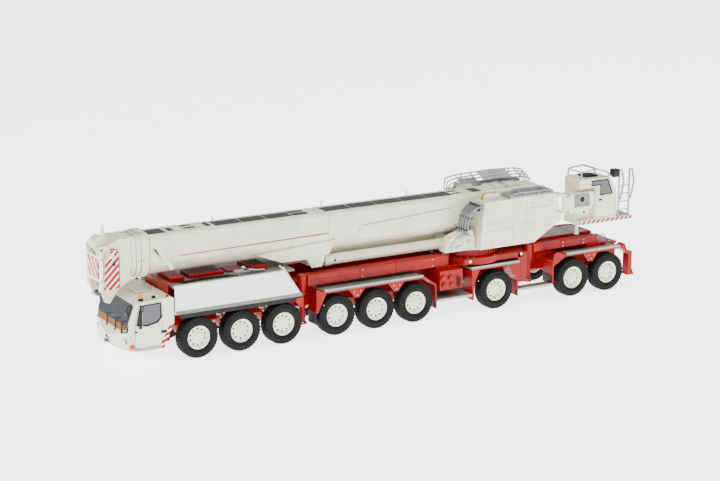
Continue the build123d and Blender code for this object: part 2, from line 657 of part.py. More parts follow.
# ================================================================ boom
def boom_form(inset, s0, s1):
    """A boom section between two stations: flat top, flat sides, round underside."""
    half = BOOM_HALF - inset
    top = BOOM_TOP - inset
    corner = max(BOOM_CORNER - inset, 0.6)
    low = BOOM_CENTRE_Z
    x0 = at(s1)
    outline = [
        Line((half, low), (half, top - corner)),
        RadiusArc((half, top - corner), (half - corner, top), -corner),
        Line((half - corner, top), (-half + corner, top)),
        RadiusArc((-half + corner, top), (-half, top - corner), -corner),
        Line((-half, top - corner), (-half, low)),
        ThreePointArc((-half, low), (0, low - half), (half, low)),
    ]
    face = Plane.YZ.offset(x0) * make_face(Curve() + outline)
    return extrude(face, amount=abs(s1 - s0), dir=(1, 0, 0))


def boom_tube(inset, s0, s1):
    """A hollow boom section."""
    return boom_form(inset, s0, s1) - boom_form(inset + BOOM_WALL, s0 - 1, s1 + 1)


def boom_base():
    """The pivot section with front collar, pivot bosses and the cylinder bracket."""
    tube = boom_tube(0, BASE_FRONT, BASE_REAR)
    tail = boom_form(0, BASE_REAR - 1.5, BASE_REAR)
    collar = boom_form(-COLLAR_OUT, BASE_FRONT, BASE_FRONT + 6.0)
    collar -= boom_form(BOOM_WALL, BASE_FRONT - 1, BASE_FRONT + 7.0)
    bosses = both_sides(crossbar(PIVOT_S, PIVOT_Z, PIVOT_PIN_R + 2.0, BOOM_HALF - 3.0, CHEEK_Y0 - GAP))
    ribs = both_sides(side_plate([(-27.9, 84.0), (-26.4, 84.0), (-9.0, 62.0), (-12.0, 60.4), (-27.9, 80.0)],
                                 BOOM_HALF - 0.4, BOOM_HALF + 0.9))
    outer = BOOM_HALF + 1.6
    slot0, slot1 = CYL_Y - EYE_W / 2 - GAP, CYL_Y + EYE_W / 2 + GAP
    fairing_outline = [(54.0, 62.0), (74.0, 54.6), (94.0, 54.6), (98.0, 47.6), (106.0, 47.6), (108.6, 54.6),
                       (112.5, 57.0), (118.0, 66.0)]
    fairing = side_plate(fairing_outline, -outer, outer)
    fairing -= boom_form(-SEAT, 40, 130)
    for side in (1, -1):
        fairing -= block(EYE_S - EYE_R - 1.0, 122, side * slot0, side * slot1, 40, EYE_Z + EYE_R + 1.0)
        fairing -= block(GLAND_S - 2.0, 122, side * (CYL_Y - CYL_R - 0.8), side * (outer + 1),
                         40, EYE_Z + CYL_R + 1.0)
    caps = both_sides(crossbar(EYE_S, EYE_Z, 2.6, outer - 0.5, outer + 1.0))
    posts = [upright(s, -BOOM_HALF + 1.4, 0.5, BOOM_TOP - 0.6, BOOM_TOP + 3.4) for s in (30.0, 118.0, 190.0)]
    base = fused(tube, tail, collar, bosses, ribs, posts)
    for side in (1, -1):
        base -= crossbar(PIVOT_S, PIVOT_Z, PIVOT_PIN_R + FIT, side * (BOOM_HALF - 4), side * (CHEEK_Y0 + 1))
    return [base, fused(fairing, caps)]


def boom_section(number):
    """Telescopic section 1 or 2: a tube with a collar on its front end."""
    front = BASE_FRONT - GAP - (number - 1) * (COLLAR + GAP)
    tube = boom_tube(NEST * number, front - COLLAR, SECTION_TAIL - 4.0 * number)
    collar = boom_form(-COLLAR_OUT + 0.5 * number, front - COLLAR, front)
    collar -= boom_form(NEST * number + BOOM_WALL, front - COLLAR - 1, front + 1)
    return fused(tube, collar)


def boom_head():
    """The last section with its head: side plates, pin bosses and hanging nose."""
    front = BASE_FRONT - GAP - 2 * (COLLAR + GAP)
    tube = boom_tube(NEST * 3, front - 4.0, SECTION_TAIL - 12.0)
    collar = boom_form(0.0, front - 4.0, front)
    bulkhead = boom_form(NEST * 3 + 0.2, front - 4.0, front - 2.5)
    cheek_outline = [(front - 1.0, 86.0), (-50.4, 86.8), (-57.2, 82.0), (-62.6, 70.0), (-63.4, 52.0),
                     (-61.0, 44.0), (-57.4, 42.6), (-54.4, 47.0), (-50.6, 52.0), (front - 1.0, 57.0)]
    cheek = side_plate(cheek_outline, 9.4, 10.8)
    outline_outer = [(-50.6, 80.0), (-56.4, 80.4), (-61.6, 71.0), (-62.4, 52.0), (-60.2, 48.0),
                     (-56.8, 48.0), (-50.6, 53.0)]
    guard = side_plate(outline_outer, 10.8, 12.2)
    boss = crossbar(-58.8, 50.6, 2.2, 9.4, 13.4)
    lug = side_plate([(-56.0, 83.0), (-64.4, 82.4), (-FRONT_REACH, 80.4), (-65.0, 76.4), (-59.0, 74.0)], 8.2, 9.4)
    cheeks = both_sides(fused(cheek, guard, boss, lug))
    top_plate = sloped(-57.2, 84.2, front, 87.0, -10.8, 10.8)
    web = block(-49.0, front, -10.0, 10.0, 60.0, 61.4)
    low_tie = crossbar(-58.8, 50.6, 1.2, -10, 10)
    whole = fused(tube, collar, bulkhead, cheeks, top_plate, web, low_tie)
    for side in (1, -1):
        whole -= crossbar(-58.8, 50.6, 1.1, side * 9.4, side * 15.0)
    return whole


def head_sheaves():
    """The rope sheaves between the head's plates, on their shafts."""
    parts = []
    for s, z, r in ((-56.0, 76.0, 5.6), (-55.2, 60.6, 4.6)):
        groove = r - 0.9
        shaft = crossbar(s, z, 1.1, -9.4, 9.4)
        discs = []
        for k in range(5):
            y = -6.8 + 3.4 * k
            discs.append(turned([(0, -1.0), (r, -1.0), (r, -0.7), (groove, -0.2), (groove, 0.2), (r, 0.7),
                                 (r, 1.0), (0, 1.0)], s, y, z))
        parts.append(fused(shaft, discs))
    return parts


def lift_barrels():
    """Both cylinder barrels: base eye, tube and gland."""
    barrel = lengthbar(CYL_Y, BASE_PIN_Z, CYL_R - 0.2, GLAND_S + 3.0, BASE_PIN_S - 7.0)
    gland = lengthbar(CYL_Y, BASE_PIN_Z, CYL_R, GLAND_S, GLAND_S + 5.0)
    cap = lengthbar(CYL_Y, BASE_PIN_Z, CYL_R, BASE_PIN_S - 12.0, BASE_PIN_S - 6.5)
    tongue = block(BASE_PIN_S - 8.0, BASE_PIN_S, CYL_Y - EYE_W / 2, CYL_Y + EYE_W / 2,
                   BASE_PIN_Z - 2.6, BASE_PIN_Z + 2.6)
    eye = crossbar(BASE_PIN_S, BASE_PIN_Z, EYE_R, CYL_Y - EYE_W / 2, CYL_Y + EYE_W / 2)
    whole = fused(barrel, gland, cap, tongue, eye)
    whole -= crossbar(BASE_PIN_S, BASE_PIN_Z, LUG_PIN_R + FIT, 0, 16)
    whole -= lengthbar(CYL_Y, BASE_PIN_Z, ROD_R + FIT, GLAND_S - 1, BASE_PIN_S - 9.5)
    return both_sides(whole)


def lift_rods():
    """Both piston rods with their eyes, in line with the barrels."""
    rod = lengthbar(CYL_Y, BASE_PIN_Z, ROD_R, EYE_S + 1.0, BASE_PIN_S - 10.2)
    eye = crossbar(EYE_S, BASE_PIN_Z, EYE_R, CYL_Y - EYE_W / 2, CYL_Y + EYE_W / 2)
    whole = fused(rod, eye) - crossbar(EYE_S, BASE_PIN_Z, LUG_PIN_R + FIT, 0, 16)
    return both_sides(whole)


# ================================================================ crane cab
def crane_cab_arm():
    """The swing arm: hinge knuckle, link and the box beside the cab with its tilt bore."""
    s, y = CAB_PIN_S, CAB_PIN_Y
    low, high = 68.6, 79.4
    knuckle = upright(s, y, 2.2, low, high)
    link = plan_plate([(s - 0.1, y + 2.1), (315.0, CCAB_Y1), (315.0, ARM_Y0 + 0.4), (s + 0.3, y - 2.1)], low, high)
    straight = block(313.0, TILT_S, ARM_Y0, CCAB_Y1, 65.4, ARM_TOP)
    round_end = crossbar(TILT_S, TILT_Z, ARM_REACH, ARM_Y0, CCAB_Y1)
    round_end &= block(TILT_S - 1, TILT_S + 12, ARM_Y0, CCAB_Y1, 65.4, ARM_TOP)
    lug = side_plate([(321.0, 66.0), (331.0, 66.0), (329.6, 63.2), (324.0, 63.2)], CCAB_Y1 - 1.4, CCAB_Y1)
    arm = fused(knuckle, link, straight, round_end, lug)
    arm -= upright(s, y, CAB_PIN_R + FIT, low - 1, high + 1)
    arm -= crossbar(TILT_S, TILT_Z, TILT_PIN_R + FIT, ARM_Y0 - 1, CCAB_Y1 + 1)
    return arm


def cab_notch(grow):
    """The recess in the crane cab's side that makes room for the swing arm."""
    return block(CCAB_REAR - 5, NOTCH_S + grow, ARM_Y0 - 0.4 - grow, 35, CCAB_Z0 - 10, NOTCH_Z + grow)


def crane_cab_form(inset):
    """The crane cab's closed form: upright back, sloping windscreen to the rear."""
    outline = [(CCAB_REAR, CCAB_Z0), (CCAB_FRONT - 1.0, CCAB_Z0), (CCAB_FRONT, 61.0), (357.0, 78.2),
               (350.6, CCAB_Z1), (CCAB_REAR + 1.5, CCAB_Z1 + 0.6), (CCAB_REAR, CCAB_Z1 - 1.0)]
    edge = Polyline([(at(s), z) for s, z in outline], close=True)
    face = make_face(edge)
    if inset:
        face = offset(face, -inset, kind=Kind.INTERSECTION)
    width = (CCAB_Y1 - CCAB_Y0) / 2 - inset
    return Pos(0, (CCAB_Y0 + CCAB_Y1) / 2, 0) * extrude(Plane.XZ * face, amount=width, both=True)


def crane_cab_windows(shrink):
    """Cutters for the side windows, windscreen and rear window."""
    side = [(333.0, 88.4), (348.6, 88.4), (353.4, 76.8), (341.6, 76.8), (341.6, 84.8), (333.0, 84.8)]
    edge = Polyline([(at(s), z) for s, z in side], close=True)
    face = make_face(edge)
    if shrink:
        face = offset(face, -shrink, kind=Kind.INTERSECTION)
    through = Pos(0, (CCAB_Y0 + CCAB_Y1) / 2, 0) * extrude(Plane.XZ * face, amount=14, both=True)
    screen = block(349.6, 364.0, CCAB_Y0 + 1.8 + shrink, CCAB_Y1 - 1.8 - shrink, 64.0 + shrink, 88.2 - shrink)
    return [through - block(330, 358, CCAB_Y0 + 2.5, CCAB_Y1 - 2.5, 60, 95), screen]


def crane_cab():
    shell = (crane_cab_form(0) - cab_notch(0)) - (crane_cab_form(1.0) - cab_notch(1.0))
    for cutter in crane_cab_windows(0):
        shell = shell - cutter
    sill = block(CCAB_REAR, 372.4, CCAB_Y0, CCAB_Y1 + 0.6, STEP_Z, CCAB_Z0)
    pin = crossbar(TILT_S, TILT_Z, TILT_PIN_R, ARM_Y0 - 1.0, CCAB_Y1 - 1.2)
    leg = upright(326.0, 20.0, 1.3, 47.0, STEP_Z)
    foot = upright(326.0, 20.0, 2.0, 46.4, 47.4)
    shell = fused(shell, sill, pin, leg, foot)
    save("crane_cab_shell", shell)
    pane = crane_cab_form(0.15) - crane_cab_form(0.85)
    save("crane_cab_glass", [pane & cutter for cutter in crane_cab_windows(0.06)])
    mid = (CCAB_Y0 + CCAB_Y1) / 2
    floor = block(324.0, 355.0, CCAB_Y0 + 1.6, CCAB_Y1 - 1.6, CCAB_Z0 + 1.0, CCAB_Z0 + 1.8)
    seat = block(329.0, 338.0, mid - 4.0, mid + 4.0, CCAB_Z0 + 1.8, 67.0)
    back = side_plate([(328.6, 66.0), (331.4, 66.0), (330.0, 80.0), (327.6, 80.0)], mid - 3.8, mid + 3.8)
    arms = [block(331.0, 340.0, y - 0.9, y + 0.9, 66.5, 70.0) for y in (mid - 4.9, mid + 4.9)]
    console = block(349.0, 353.0, mid - 3.0, mid + 3.0, CCAB_Z0 + 1.8, 69.0)
    save("crane_cab_interior", fused(floor, seat, back, arms, console) - cab_notch(1.2))


def crane_cab_railing():
    """Roof rails, front ladder and work lamp of the crane cab."""
    y = CCAB_Y1 - 0.4
    rear_y = CCAB_Y0 + 1.0
    ladder = fused(
        pipe([(359.6, y, CCAB_Z0), (359.6, y, 94.6), (362.0, y, 94.6), (364.4, y, 84.0), (361.6, y, 72.0)], 0.55, 1.1),
        pipe([(369.4, y, CCAB_Z0), (369.4, y, 94.6), (371.8, y, 94.6), (374.2, y, 84.0), (370.6, y, 70.0)], 0.55, 1.1),
        [lengthbar(y, z, 0.35, 359.6, 369.4) for z in (62.9, 69.3, 75.6, 81.8)],
    )
    lamp = block(352.2, 359.4, y - 2.4, y + 0.6, 89.4, 95.6)
    ladder = fused(ladder, lamp)
    roof = CCAB_Z1 + 0.25
    rails = []
    for side_y in (y - 0.6, rear_y + 0.4):
        rails.append(pipe([(324.0, side_y, roof + 0.4), (324.0, side_y, 96.4), (338.5, side_y, 97.6),
                           (349.4, side_y, 93.4), (349.4, side_y, roof)], 0.45, 1.2))
    for s, z in ((324.0, 95.0), (338.5, 97.3)):
        rails.append(crossbar(s, z, 0.45, rear_y + 0.4, y - 0.6))
    return [ladder, fused(rails)]


def cab_hinge_lugs():
    """The two lugs on the left housing that hold the swing arm's pin."""
    lugs = []
    for z0 in (66.0, 79.7):
        plate = plan_plate([(299.0, CHEEK_Y1 + 2), (299.0, HOUSE_HALF), (CAB_PIN_S, CAB_PIN_Y + 2.2),
                            (CAB_PIN_S + 2.2, CAB_PIN_Y), (CAB_PIN_S + 1.0, CAB_PIN_Y - 2.4),
                            (301.8, CHEEK_Y1 + 2)], z0, z0 + 2.3)
        lugs.append(plate)
    pin = upright(CAB_PIN_S, CAB_PIN_Y, CAB_PIN_R, 66.5, 81.5)
    return fused(lugs, pin)


# ================================================================ assembly
def build():
    os.makedirs("parts", exist_ok=True)
    wheels_and_axles()
    save("chassis_frame", chassis_frame())
    save("slewing_ring", slewing_ring())
    fenders = []
    for part in fenders_left():
        fenders.extend(both_sides(part))
    save("fenders", fenders)
    save("walkways", walkways())
    save("side_panels", side_panels())
    save("deck_fittings", deck_fittings())
    carrier_cab()
    save("carrier_lamps", carrier_lamps())
    save("carrier_mirrors", carrier_mirrors())
    outriggers()
    save("turntable_frame", turntable_frame())
    left_house, right_house = side_housings()
    save("side_housings", fused(left_house, cab_hinge_lugs()), right_house)
    save("platform_railings", platform_railings())
    save("winches", winches())
    save("hose_bundle", hose_bundle())
    save("boom_base", boom_base())
    save("boom_section_1", boom_section(1))
    save("boom_section_2", boom_section(2))
    save("boom_head", boom_head())
    save("head_sheaves", head_sheaves())
    save("lift_barrels", lift_barrels())
    save("lift_rods", lift_rods())
    save("crane_cab_arm", crane_cab_arm())
    crane_cab()
    save("crane_cab_railing", crane_cab_railing())


build()
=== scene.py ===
"""The looks of a 1:50 model of a heavy mobile crane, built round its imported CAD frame.

Laid out as an add-on: each Operator makes one group of like pieces, in millimetres on
the vehicle's own stations, and main() calls them in order.
"""

from math import cos, pi, radians, sin

import bpy
import numpy as np
from bpy.props import FloatProperty, FloatVectorProperty, IntProperty, PointerProperty
from bpy.types import Operator, Panel, PropertyGroup
from mathutils import Matrix, Vector


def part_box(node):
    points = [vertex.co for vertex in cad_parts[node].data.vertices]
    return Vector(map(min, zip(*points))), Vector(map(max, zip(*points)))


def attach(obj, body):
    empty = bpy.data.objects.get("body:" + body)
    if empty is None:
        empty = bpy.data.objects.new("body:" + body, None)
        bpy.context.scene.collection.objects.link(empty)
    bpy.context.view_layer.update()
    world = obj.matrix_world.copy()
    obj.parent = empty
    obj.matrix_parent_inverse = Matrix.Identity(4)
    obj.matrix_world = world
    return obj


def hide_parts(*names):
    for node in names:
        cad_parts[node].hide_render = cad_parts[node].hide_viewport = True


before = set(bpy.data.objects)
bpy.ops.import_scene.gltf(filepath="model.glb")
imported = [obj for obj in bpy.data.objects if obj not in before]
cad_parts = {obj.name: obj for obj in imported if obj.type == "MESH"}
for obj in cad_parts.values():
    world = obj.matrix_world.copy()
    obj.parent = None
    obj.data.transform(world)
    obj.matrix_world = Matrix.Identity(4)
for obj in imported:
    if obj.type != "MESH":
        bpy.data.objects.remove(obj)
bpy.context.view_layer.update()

bl_info = {
    "name": "Mobile crane model",
    "version": (1, 0, 0),
    "blender": (4, 5, 0),
    "location": "View3D > Sidebar > Crane",
    "description": "Builds the finished surfaces of a scale model of a mobile crane",
    "category": "Object",
}

MM = 0.001
POLE = 0.05  # Radius at which the poles of turned forms are closed, in millimetres.
EDGE = 0.12  # Usual chamfer of a cast or moulded edge.
SHARP = 35  # Degrees between two faces above which their edge is drawn sharp.


def corners(node):
    """A CAD node's lowest and highest corners, in millimetres."""
    low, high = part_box(node)
    return np.array(low) / MM, np.array(high) / MM


def middle(node):
    """The centre of a CAD node's box, in millimetres."""
    low, high = corners(node)
    return (low + high) / 2


AXLE_X = [middle(f"tyres_{n}")[0] for n in range(1, 10)]
TYRE_R = middle("tyres_1")[2]
WIDTH = 2 * corners("tyres_1")[1][1]
TYRE_W, RIM_R, RIM_W = 8.8, 8.4, 7.2
WHEEL_Y = (WIDTH - TYRE_W) / 2


def at(station):
    """X in millimetres of a station, measured rearwards from the first axle."""
    return AXLE_X[0] - station


# Stations, sides and heights that the pieces share with the frame, in millimetres.
AXLES = [AXLE_X[0] - x for x in AXLE_X]
BODY = WIDTH / 2 - 0.5
WALK_Z = corners("fenders")[1][2] - 1.9
CAB_REAR = AXLES[0] - TYRE_R - 3.35
CAB_FRONT = CAB_REAR - 37.8
CAB_HALF = BODY - 0.9
CAB_ROOF = 46.5
BOOM_TOP, BOOM_HALF, BOOM_CENTRE = 86.5, 11.0, 68.0
BASE_FRONT = CAB_FRONT + 22.0
HEAD_S, HEAD_Z = BASE_FRONT - 24.8, 50.6
SLEW_S = AXLES[6] - 8.9
HOUSE_HALF, HOUSE_TOP = BODY - 1.3, 82.8
BASE_PIN_S, ROD_EYE_S, ROD_Z, ROD_Y = SLEW_S - 19.5, 102.0, 50.6, 8.0
PIVOT_S, PIVOT_Z = SLEW_S + 47.5, 78
TAIL_S = 371.8  # The chassis frame's rear face.
HINGE = (307.0, 29.4)  # Station and side of the crane cab's swing pin.
CCAB_Y0, CCAB_Y1 = 8.5, 28.0


# ---------------------------------------------------------------- shapes
# A form is (points, faces): an N by 3 array in millimetres and lists of corner numbers.
def joined(*forms):
    """One form from several, the corner numbers moved on by the points before them."""
    points, faces, count = [], [], 0
    for p, f in forms:
        points.append(p)
        faces.extend([[k + count for k in face] for face in f])
        count += len(p)
    return np.vstack(points), faces


def moved(form, step):
    """The form shifted by a vector."""
    return form[0] + np.asarray(step, float), form[1]


def mirrored(form):
    """The form reflected to the other side of the vehicle, its faces turned back outwards."""
    return form[0] * (1, -1, 1), [face[::-1] for face in form[1]]


def pair(*forms):
    """The forms and their mirror images as one form."""
    form = joined(*forms)
    return joined(form, mirrored(form))


def rows(form, steps):
    """Copies of a form at each of several shifts."""
    return joined(*[moved(form, step) for step in steps])


def lofted(rings, around=True, ends=True, loop=False):
    """A skin over M rings of N points: corner (i, j) meets (i, j+1), (i+1, j+1) and (i+1, j).

    Rings run anticlockwise as seen from where the last one looks. With loop, the last
    ring meets the first."""
    rings = np.asarray(rings, float)
    m, n = rings.shape[:2]
    i, j = np.meshgrid(np.arange(m if loop else m - 1), np.arange(n if around else n - 1), indexing="ij")
    k, l = (j + 1) % n, (i + 1) % m
    quads = np.stack([i * n + j, i * n + k, l * n + k, l * n + j], -1).reshape(-1, 4)
    faces = quads.tolist()
    if ends and around and not loop:
        faces.append(list(range(n))[::-1])
        faces.append(list(range((m - 1) * n, m * n)))
    return rings.reshape(-1, 3), faces


def lathe(profile, centre, count=48, axis=1, dent=None, loop=False):
    """A profile of (radius, height) turned about an axis: point = height on the axis plus
    radius times (cos a, sin a) across it, for even angles a. dent(radius, height, a) may
    give a (radius, height) pair that is added."""
    profile = np.asarray(profile, float)
    a = np.linspace(0, 2 * pi, count, endpoint=False)
    r = np.repeat(profile[:, :1], count, 1)
    h = np.repeat(profile[:, 1:], count, 1)
    if dent:
        more_r, more_h = dent(r, h, a[None, :])
        r, h = r + more_r, h + more_h
    u, v = (axis + 1) % 3, (axis + 2) % 3
    rings = np.zeros((len(profile), count, 3))
    rings[..., axis] = h
    rings[..., u] = r * np.cos(a)
    rings[..., v] = r * np.sin(a)
    return moved(lofted(rings, loop=loop), centre)


def inset_loop(outline, amount):
    """A closed 2D outline drawn in by amount: each corner moves along the sum of its two
    edges' inward normals, divided by one plus the cosine of the angle between them."""
    p = np.asarray(outline, float)
    edge = np.roll(p, -1, 0) - p
    edge /= np.linalg.norm(edge, axis=1)[:, None]
    inward = np.stack([-edge[:, 1], edge[:, 0]], 1)
    before = np.roll(inward, 1, 0)
    share = 1 + (inward * before).sum(1)
    return p + amount * (inward + before) / np.maximum(share, 0.3)[:, None]


def anticlockwise(outline):
    """The outline in anticlockwise order, by the sign of its shoelace area."""
    p = np.asarray(outline, float)
    q = np.roll(p, -1, 0)
    return p if (p[:, 0] * q[:, 1] - q[:, 0] * p[:, 1]).sum() > 0 else p[::-1]


def prism(outline, low, high, axis, edge=EDGE):
    """An outline carried from low to high along an axis, its rims chamfered by edge.

    The outline's two columns are the other two axes in cyclic order: (y, z) for X,
    (z, x) for Y and (x, y) for Z."""
    loop = anticlockwise(outline)
    edge = min(edge, 0.4 * abs(high - low))
    small = inset_loop(loop, edge)
    u, v = (axis + 1) % 3, (axis + 2) % 3
    rings = np.zeros((4, len(loop), 3))
    steps = ((small, low), (loop, low + edge), (loop, high - edge), (small, high))
    for ring, (shape, height) in zip(rings, steps):
        ring[:, u], ring[:, v], ring[:, axis] = shape[:, 0], shape[:, 1], height
    return lofted(rings)


def side_plate(outline, y0, y1, edge=EDGE):
    """A plate in the vehicle's side view, from (station, height) corners."""
    return prism([(z, at(s)) for s, z in outline], min(y0, y1), max(y0, y1), 1, edge)


def plan_plate(outline, z0, z1, edge=EDGE):
    """A plate in the vehicle's plan view, from (station, y) corners."""
    return prism([(at(s), y) for s, y in outline], z0, z1, 2, edge)


def front_plate(outline, s0, s1, edge=EDGE):
    """A plate in the vehicle's front view, from (y, z) corners."""
    return prism(outline, at(max(s0, s1)), at(min(s0, s1)), 0, edge)


def slab(s0, s1, y0, y1, z0, z1, edge=EDGE):
    """A chamfered slab between two stations, two sides and two heights."""
    return plan_plate([(s0, y0), (s1, y0), (s1, y1), (s0, y1)], z0, z1, edge)


def slabs(*boxes):
    """One form from the numbers of several slabs."""
    return joined(*[slab(*box) for box in boxes])


def rounded(width, height, r, centre=(0, 0), n=4):
    """A rectangle's outline round a centre with corner arcs of radius r."""
    a = np.linspace(0, pi / 2, n + 1)
    arc = r * np.stack([np.cos(a), np.sin(a)], 1)
    loop = []
    for k, (cx, cy) in enumerate(((1, 1), (-1, 1), (-1, -1), (1, -1))):
        turn = np.array([[cos(k * pi / 2), sin(k * pi / 2)], [-sin(k * pi / 2), cos(k * pi / 2)]])
        loop.append(arc @ turn + (cx * (width / 2 - r), cy * (height / 2 - r)))
    return np.vstack(loop) + centre


def bent(points, radius, steps=5):
    """A path with each inner corner cut back by the radius and rounded by a quadratic curve:
    (1-t)^2 start + 2t(1-t) corner + t^2 end."""
    p = np.asarray(points, float)
    out = [p[0]]
    t = np.linspace(0, 1, steps + 1)[:, None]
    for before, corner, after in zip(p[:-2], p[1:-1], p[2:]):
        back, on = before - corner, after - corner
        lb, lo = np.linalg.norm(back), np.linalg.norm(on)
        cut = min(radius, 0.48 * lb, 0.48 * lo)
        start, end = corner + back / lb * cut, corner + on / lo * cut
        out.extend((1 - t) ** 2 * start + 2 * t * (1 - t) * corner + t ** 2 * end)
    out.append(p[-1])
    return np.asarray(out)


def tube(points, r, sides=8, bend=0.0, closed=False):
    """A round bar along (station, y, z) points: at each point a circle of radius r lies across
    the mean of the directions before and after, its first axis carried along without twist."""
    p = np.asarray([(at(s), y, z) for s, y, z in points], float)
    if bend:
        p = bent(p, bend)
    if closed:
        way = np.roll(p, -1, 0) - np.roll(p, 1, 0)
    else:
        way = np.gradient(p, axis=0)
    way /= np.linalg.norm(way, axis=1)[:, None]
    side = np.cross(way[0], (0.0, 0.0, 1.0) if abs(way[0][2]) < 0.9 else (0.0, 1.0, 0.0))
    a = np.linspace(0, 2 * pi, sides, endpoint=False)
    rings = []
    for point, w in zip(p, way):
        side = side - w * side.dot(w)
        side /= np.linalg.norm(side)
        up = np.cross(w, side)
        rings.append(point + r * (np.cos(a)[:, None] * side + np.sin(a)[:, None] * up))
    return lofted(rings, loop=closed)


def gasket(outline, place, r, sides=6):
    """A thin rubber bead round a flat outline; place(u, v) gives each corner's (s, y, z)."""
    return tube([place(u, v) for u, v in outline], r, sides, closed=True)


def bolt(s, y, z, axis, r=0.45, high=0.4, sides=6):
    """A hexagon head: a six-sided outline carried along an axis, its top rim chamfered."""
    a = np.linspace(0, 2 * pi, sides, endpoint=False)
    outline = r * np.stack([np.cos(a), np.sin(a)], 1)
    low, up = (0, high) if high > 0 else (high, 0)
    return moved(prism(outline, low, up, axis, 0.1), (at(s), y, z))


def bolt_circle(s, y, z, radius, count, r, high):
    """Bolt heads on a side skin, at even angles round a centre."""
    return [bolt(s + radius * cos(a), y, z + radius * sin(a), 1, r, high)
            for a in np.arange(count) * (2 * pi / count)]


def button(s, y, z, axis, r, high, count=16):
    """A low round boss with a softened rim, standing along an axis."""
    edge, tip, tall = min(EDGE, abs(high) / 3), 0.02, abs(high)
    profile = [(tip, 0), (r, 0), (r, tall - edge), (r - edge, tall), (tip, tall)]
    if high < 0:
        profile = [(a, -b) for a, b in profile[::-1]]
    return lathe(profile, (at(s), y, z), count, axis)


PAINT = {}


def piece(name, body, *layers, hides=(), slot=None):
    """An object from (form, finish) layers, riding a CAD body. A layer's form may be a list
    of forms. A layer may instead be (form, (finish, other), mask), where the mask picks
    the faces of the other."""
    layers = [(joined(*layer[0]) if isinstance(layer[0], list) else layer[0], *layer[1:]) for layer in layers]
    form = joined(*[layer[0] for layer in layers])
    mesh = bpy.data.meshes.new(name)
    mesh.from_pydata((form[0] * MM).tolist(), [], form[1])
    index = []
    for shape, finish, *mask in layers:
        picks = mask[0] if mask else np.zeros(len(shape[1]))
        index.extend((len(mesh.materials) + np.asarray(picks, int)).tolist())
        for key in (finish if mask else [finish]):
            mesh.materials.append(PAINT[key])
    mesh.polygons.foreach_set("material_index", index)
    mesh.polygons.foreach_set("use_smooth", [True] * len(mesh.polygons))
    mesh.set_sharp_from_angle(angle=radians(SHARP))
    mesh.update()
    if mesh.validate():
        raise RuntimeError(f"{name}: a face was not a proper face")
    thing = bpy.data.objects.new(name, mesh)
    bpy.context.scene.collection.objects.link(thing)
    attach(thing, body)
    if hides:
        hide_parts(*hides)


# ---------------------------------------------------------------- materials
def linear(value):
    """A linear RGBA colour from an sRGB hex string."""
    parts = [int(value[k:k + 2], 16) / 255 for k in (1, 3, 5)]
    return tuple(c / 12.92 if c <= 0.04045 else ((c + 0.055) / 1.055) ** 2.4 for c in parts) + (1.0,)


def node(tree, kind, settings=None, links=None):
    """Adds a node: settings by attribute or input name, links from an input to a socket."""
    made = tree.nodes.new(kind)
    for key, value in (settings or {}).items():
        if isinstance(key, str) and hasattr(made, key):
            setattr(made, key, value)
        else:
            made.inputs[key].default_value = value
    for key, source in (links or {}).items():
        tree.links.new(source, made.inputs[key])
    return made


def maths(tree, operation, *values):
    """The result of a maths node, where each value is a number or another node's socket."""
    made = node(tree, "ShaderNodeMath", {"operation": operation})
    for socket, value in zip(made.inputs, values):
        if isinstance(value, bpy.types.NodeSocket):
            tree.links.new(value, socket)
        else:
            socket.default_value = value
    return made.outputs[0]


def object_axes(tree):
    """The sockets of the X, Y and Z object coordinates."""
    place = node(tree, "ShaderNodeTexCoord").outputs["Object"]
    return node(tree, "ShaderNodeSeparateXYZ", links={0: place}).outputs


def two_toned(tree, mask, low, high):
    """Makes the base colour low where the mask is 0 and high where it is 1."""
    mix = node(tree, "ShaderNodeMix", {"data_type": "RGBA"}, {0: mask})
    mix.inputs[6].default_value, mix.inputs[7].default_value = linear(low), linear(high)
    tree.links.new(mix.outputs[2], tree.nodes["Principled BSDF"].inputs["Base Color"])


def coat(name, colour, dark, grain_mm, bump, rough, spread=0.08, drift_mm=14, **fixed):
    """A finish whose colour drifts between two tones and whose gloss and skin follow noise.

    grain_mm is the size of the skin's ripples, bump their depth as a share, and drift_mm
    the size of the patches in which tone and gloss change."""
    material = bpy.data.materials.new(name)
    material.use_nodes = True
    tree = material.node_tree
    shader = tree.nodes["Principled BSDF"]
    place = node(tree, "ShaderNodeTexCoord").outputs["Object"]
    drift = node(tree, "ShaderNodeTexNoise", {"Scale": 1 / (drift_mm * MM), "Detail": 3.0}, {"Vector": place})
    skin = node(tree, "ShaderNodeTexNoise", {"Scale": 1 / (grain_mm * MM), "Detail": 2.0}, {"Vector": place})
    tone = node(tree, "ShaderNodeValToRGB", links={"Fac": drift.outputs["Fac"]})
    ramp = tone.color_ramp.elements
    ramp[0].position, ramp[0].color = 0.3, linear(dark)
    ramp[1].position, ramp[1].color = 0.62, linear(colour)
    gloss = node(tree, "ShaderNodeMapRange", {"From Min": 0.3, "From Max": 0.7, "To Min": rough - spread,
                 "To Max": rough + spread}, {"Value": drift.outputs["Fac"]})
    relief = node(tree, "ShaderNodeBump", {"Strength": bump, "Distance": 0.05 * MM},
                  {"Height": skin.outputs["Fac"]})
    tree.links.new(tone.outputs["Color"], shader.inputs["Base Color"])
    tree.links.new(gloss.outputs["Result"], shader.inputs["Roughness"])
    tree.links.new(relief.outputs["Normal"], shader.inputs["Normal"])
    for key, value in fixed.items():
        shader.inputs[key.replace("_", " ")].default_value = value
    return material


